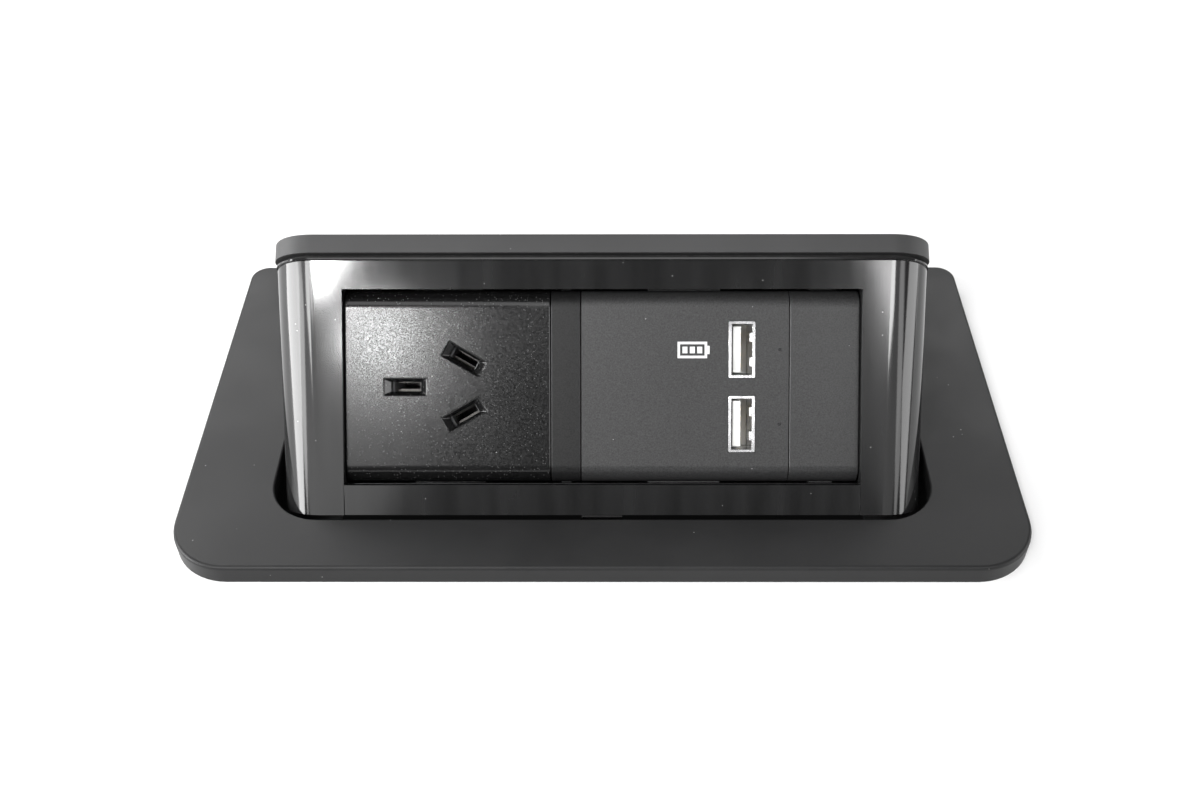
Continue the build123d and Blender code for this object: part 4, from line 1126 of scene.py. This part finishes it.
class DESKSOCKET_OT_clamps(bpy.types.Operator):
    """Give the clamps threaded bolts and barred rubber pads."""

    bl_idname = "desk_socket.clamps"
    bl_label = "Desk clamps"

    def execute(self, context):
        bolts, pads = bolt_tree(), grip_tree()
        for side in ("left", "right"):
            rounded_piece("clamp_claw_" + side, "claw_" + side, "zinc", width=0.35 * MM)
            self.bolt(bolts, "clamp_bolt_" + side)
            self.pad(pads, "clamp_pad_" + side)
        return {"FINISHED"}

    def bolt(self, tree, node):
        plain = screw_measures(node, UPWARD)[0]
        values = {
            "Core radius": plain["Shank radius"] - sizes().thread_depth,
            "Thread radius": plain["Shank radius"],
            "Pitch": sizes().thread_pitch,
            "Length": plain["Shank length"],
            "Head radius": plain["Head radius"],
            "Head height": plain["Head height"],
        }
        self.put(tree, node, "_threaded", values, plain["seat"], "zinc")

    def pad(self, tree, node):
        low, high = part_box(node)
        size = high - low
        values = {
            "Count": sizes().grip_bars,
            "Length": size.x,
            "Width": size.y,
            "Thickness": size.z,
            "Bar height": size.z * BAR_HEIGHT,
        }
        top = ((low.x + high.x) / 2, (low.y + high.y) / 2, high.z)
        self.put(tree, node, "_barred", values, top, "rubber")

    def put(self, tree, node, ending, values, place, finish_name):
        """Puts what a tree grows in a node's place."""
        mesh = grown(tree, bpy.data.meshes.new("start"), values, finish_name)
        mesh.transform(Matrix.Translation(place))
        piece = add_piece(node + ending, mesh, body_of(node), finish_name)
        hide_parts(node)


class DESKSOCKET_OT_latch(bpy.types.Operator):
    """Finish the latch and its bracket."""

    bl_idname = "desk_socket.latch"
    bl_label = "Latch"

    def execute(self, context):
        rounded_piece("latch_body", "latch_case", "moulding")
        rounded_piece("latch_plunger", "latch_button", "tongue", width=0.2 * MM)
        rounded_piece("latch_bracket", "latch_strap", "zinc")
        # The strike takes the dark strip finish as painted shade, so it reads as dark as the
        # shaded slit below the lower bar.
        coat("strip", "latch_strike")
        self.spring()
        return {"FINISHED"}

    def spring(self):
        """The plunger's spring as a smooth coil with a mesh of its own."""
        mesh = merged_copy("latch_spring")
        smooth_up_to(mesh, COIL_ANGLE)
        piece = add_piece("latch_coil", mesh, body_of("latch_spring"), "steel")
        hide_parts("latch_spring")
        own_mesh(piece)


class DESKSOCKET_OT_gland(bpy.types.Operator):
    """Finish the cable gland and put grip ribs round its cap."""

    bl_idname = "desk_socket.gland"
    bl_label = "Cable gland"

    def execute(self, context):
        rounded_piece("cable_gland", "gland_moulding", "housing")
        coat("housing", "gland_nut")
        values = {
            "Count": sizes().gland_ribs,
            "Radius": RIB_CIRCLE,
            "Width": RIB_WIDTH,
            "Height": RIB_HEIGHT,
            "Length": RIB_LENGTH,
        }
        mesh = grown(rib_tree(), bpy.data.meshes.new("rib start"), values, "housing")
        x, y, _ = named(frame["record"]["mounts"], "cable_inlet")["pos_m"]
        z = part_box("cable_gland")[0].z + RIB_START + RIB_LENGTH / 2
        mesh.transform(Matrix.Translation((x, y, z)))
        add_piece("gland_ribs", mesh, "cassette", "housing")
        return {"FINISHED"}


class DESKSOCKET_OT_screws(bpy.types.Operator):
    """Put cross-recessed screws where the plain ones are."""

    bl_idname = "desk_socket.screws"
    bl_label = "Screws"

    def execute(self, context):
        tree = screw_tree()
        driven = {
            "lid_screws": lid_up(),
            "rear_cover_screws": UPWARD,
            "mounting_frame_screws": face_out(),
            "terminal_screws": face_out(),
            "sector_screws": -ACROSS,
            "damper_screws": -ACROSS,
            "housing_screws": UPWARD,
            "latch_bracket_screws": Vector((0, -1, 0)),
        }
        for node, way in driven.items():
            replace_screws(tree, node, way)
        return {"FINISHED"}


class DESKSOCKET_OT_stage(bpy.types.Operator):
    """Set up the pale desk top, the light and the camera."""

    bl_idname = "desk_socket.stage"
    bl_label = "Desk top, light and camera"

    def execute(self, context):
        self.desk_top()
        self.painted_shade_floor()
        self.lights(context)
        self.camera(context)
        context.scene.view_settings.view_transform = "Standard"
        return {"FINISHED"}

    def square(self, z):
        """The corners of a floor at a height."""
        half = stage_values().floor_half
        return [(-half, -half, z), (half, -half, z), (half, half, z), (-half, half, z)]

    def desk_top(self):
        """A sheet at the desk's level with a cut-out for the housing."""
        low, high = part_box("housing")
        x0, x1 = low.x - CUTOUT_GAP, high.x + CUTOUT_GAP
        y0, y1 = low.y - CUTOUT_GAP, high.y + CUTOUT_GAP
        hole = [(x0, y0, 0), (x1, y0, 0), (x1, y1, 0), (x0, y1, 0)]
        faces = [(i, (i + 1) % 4, 4 + (i + 1) % 4, 4 + i) for i in range(4)]
        material, tree, shader, place = new_material("Pale desk top")
        tone = shades(tree, noise(tree, place, 0.4), (0.60, 0.60, 0.60), 0.98, 1.02)
        glow = (
            ("Emission Color", (1, 1, 1, 1)),
            ("Emission Strength", stage_values().floor_glow),
        )
        set_surface(tree, shader, tone, 0.8, 0.2, glow)
        self.sheet("desk_top", self.square(0) + hole, faces, material)

    def painted_shade_floor(self):
        """A near-black sheet at the room floor's depth: painted shade under the desk, seen
        only through the housing and from below.
        """
        material, tree, shader, place = new_material("Painted shade under the desk")
        # The near-black tone is painted shade, not the colour of a real floor.
        tone = shades(tree, noise(tree, place, 0.5), (0.006, 0.006, 0.006), 0.8, 1.2)
        set_surface(tree, shader, tone, 0.95, 0.0)
        corners = self.square(-stage_values().desk_height)
        self.sheet("painted_shade_floor", corners, [(0, 1, 2, 3)], material)

    def sheet(self, name, corners, faces, material):
        mesh = bpy.data.meshes.new(name)
        mesh.from_pydata(corners, [], faces)
        mesh.materials.append(material)
        linked(name, mesh)

    def lights(self, context):
        """An even, faint sky and the soft lamps."""
        world = bpy.data.worlds.new("Even light")
        world.use_nodes = True
        background = world.node_tree.nodes["Background"]
        background.inputs["Color"].default_value = (1, 1, 1, 1)
        background.inputs["Strength"].default_value = stage_values().sky
        context.scene.world = world
        for name, bearing, rise, distance, width, height, brightness in LAMPS:
            turn, up = math.radians(bearing), math.radians(rise)
            level = math.cos(up)
            way = Vector((math.sin(turn) * level, -math.cos(turn) * level, math.sin(up)))
            data = bpy.data.lights.new(name, "AREA")
            data.shape = "RECTANGLE"
            data.size, data.size_y = width, height
            data.energy = brightness * math.pi * width * height
            lamp = linked(name, data)
            lamp.location = LAMP_TARGET + way * distance
            lamp.rotation_euler = way.to_track_quat("Z", "Y").to_euler()

    def camera(self, context):
        """The camera at the photograph's place and angle."""
        values = stage_values()
        data = bpy.data.cameras.new("photo_view")
        data.lens = values.lens
        data.sensor_width = 36
        data.clip_start = 0.01
        camera = linked("photo_view", data)
        turn = (
            Matrix.Rotation(values.yaw, 4, "Z")
            @ Matrix.Rotation(math.pi / 2 - values.pitch, 4, "X")
            @ Matrix.Rotation(values.roll, 4, "Z")
        )
        camera.matrix_world = Matrix.Translation(values.camera) @ turn
        context.scene.camera = camera


OPERATORS = (
    DESKSOCKET_OT_plate,
    DESKSOCKET_OT_lid,
    DESKSOCKET_OT_cassette,
    DESKSOCKET_OT_modules,
    DESKSOCKET_OT_socket_inside,
    DESKSOCKET_OT_charger,
    DESKSOCKET_OT_hinge,
    DESKSOCKET_OT_damper,
    DESKSOCKET_OT_housing,
    DESKSOCKET_OT_clamps,
    DESKSOCKET_OT_latch,
    DESKSOCKET_OT_gland,
    DESKSOCKET_OT_screws,
    DESKSOCKET_OT_stage,
)


class DESKSOCKET_PT_panel(bpy.types.Panel):
    """Lists the steps that finish the desk socket."""

    bl_idname = "DESKSOCKET_PT_panel"
    bl_label = "Desk socket"
    bl_space_type = "VIEW_3D"
    bl_region_type = "UI"
    bl_category = "Desk socket"

    def draw(self, context):
        for step in OPERATORS:
            self.layout.operator(step.bl_idname)
        groups = {"Colours": colours(), "Sizes": sizes(), "Stage": stage_values()}
        for title, group in groups.items():
            box = self.layout.box()
            box.label(text=title)
            for key in group.__annotations__:
                box.prop(group, key)


GROUPS = (DeskSocketColours, DeskSocketSizes, DeskSocketStage)


def register():
    for item in (*GROUPS, *OPERATORS, DESKSOCKET_PT_panel):
        bpy.utils.register_class(item)
    bpy.types.Scene.desk_socket_colours = bpy.props.PointerProperty(type=DeskSocketColours)
    bpy.types.Scene.desk_socket_sizes = bpy.props.PointerProperty(type=DeskSocketSizes)
    bpy.types.Scene.desk_socket_stage = bpy.props.PointerProperty(type=DeskSocketStage)


def unregister():
    del bpy.types.Scene.desk_socket_stage
    del bpy.types.Scene.desk_socket_sizes
    del bpy.types.Scene.desk_socket_colours
    for item in reversed((*GROUPS, *OPERATORS, DESKSOCKET_PT_panel)):
        bpy.utils.unregister_class(item)


def main():
    """Finishes every piece in order and sets the stage."""
    register()
    for step in OPERATORS:
        group, name = step.bl_idname.split(".")
        getattr(getattr(bpy.ops, group), name)()


if __name__ == "__main__":
    main()
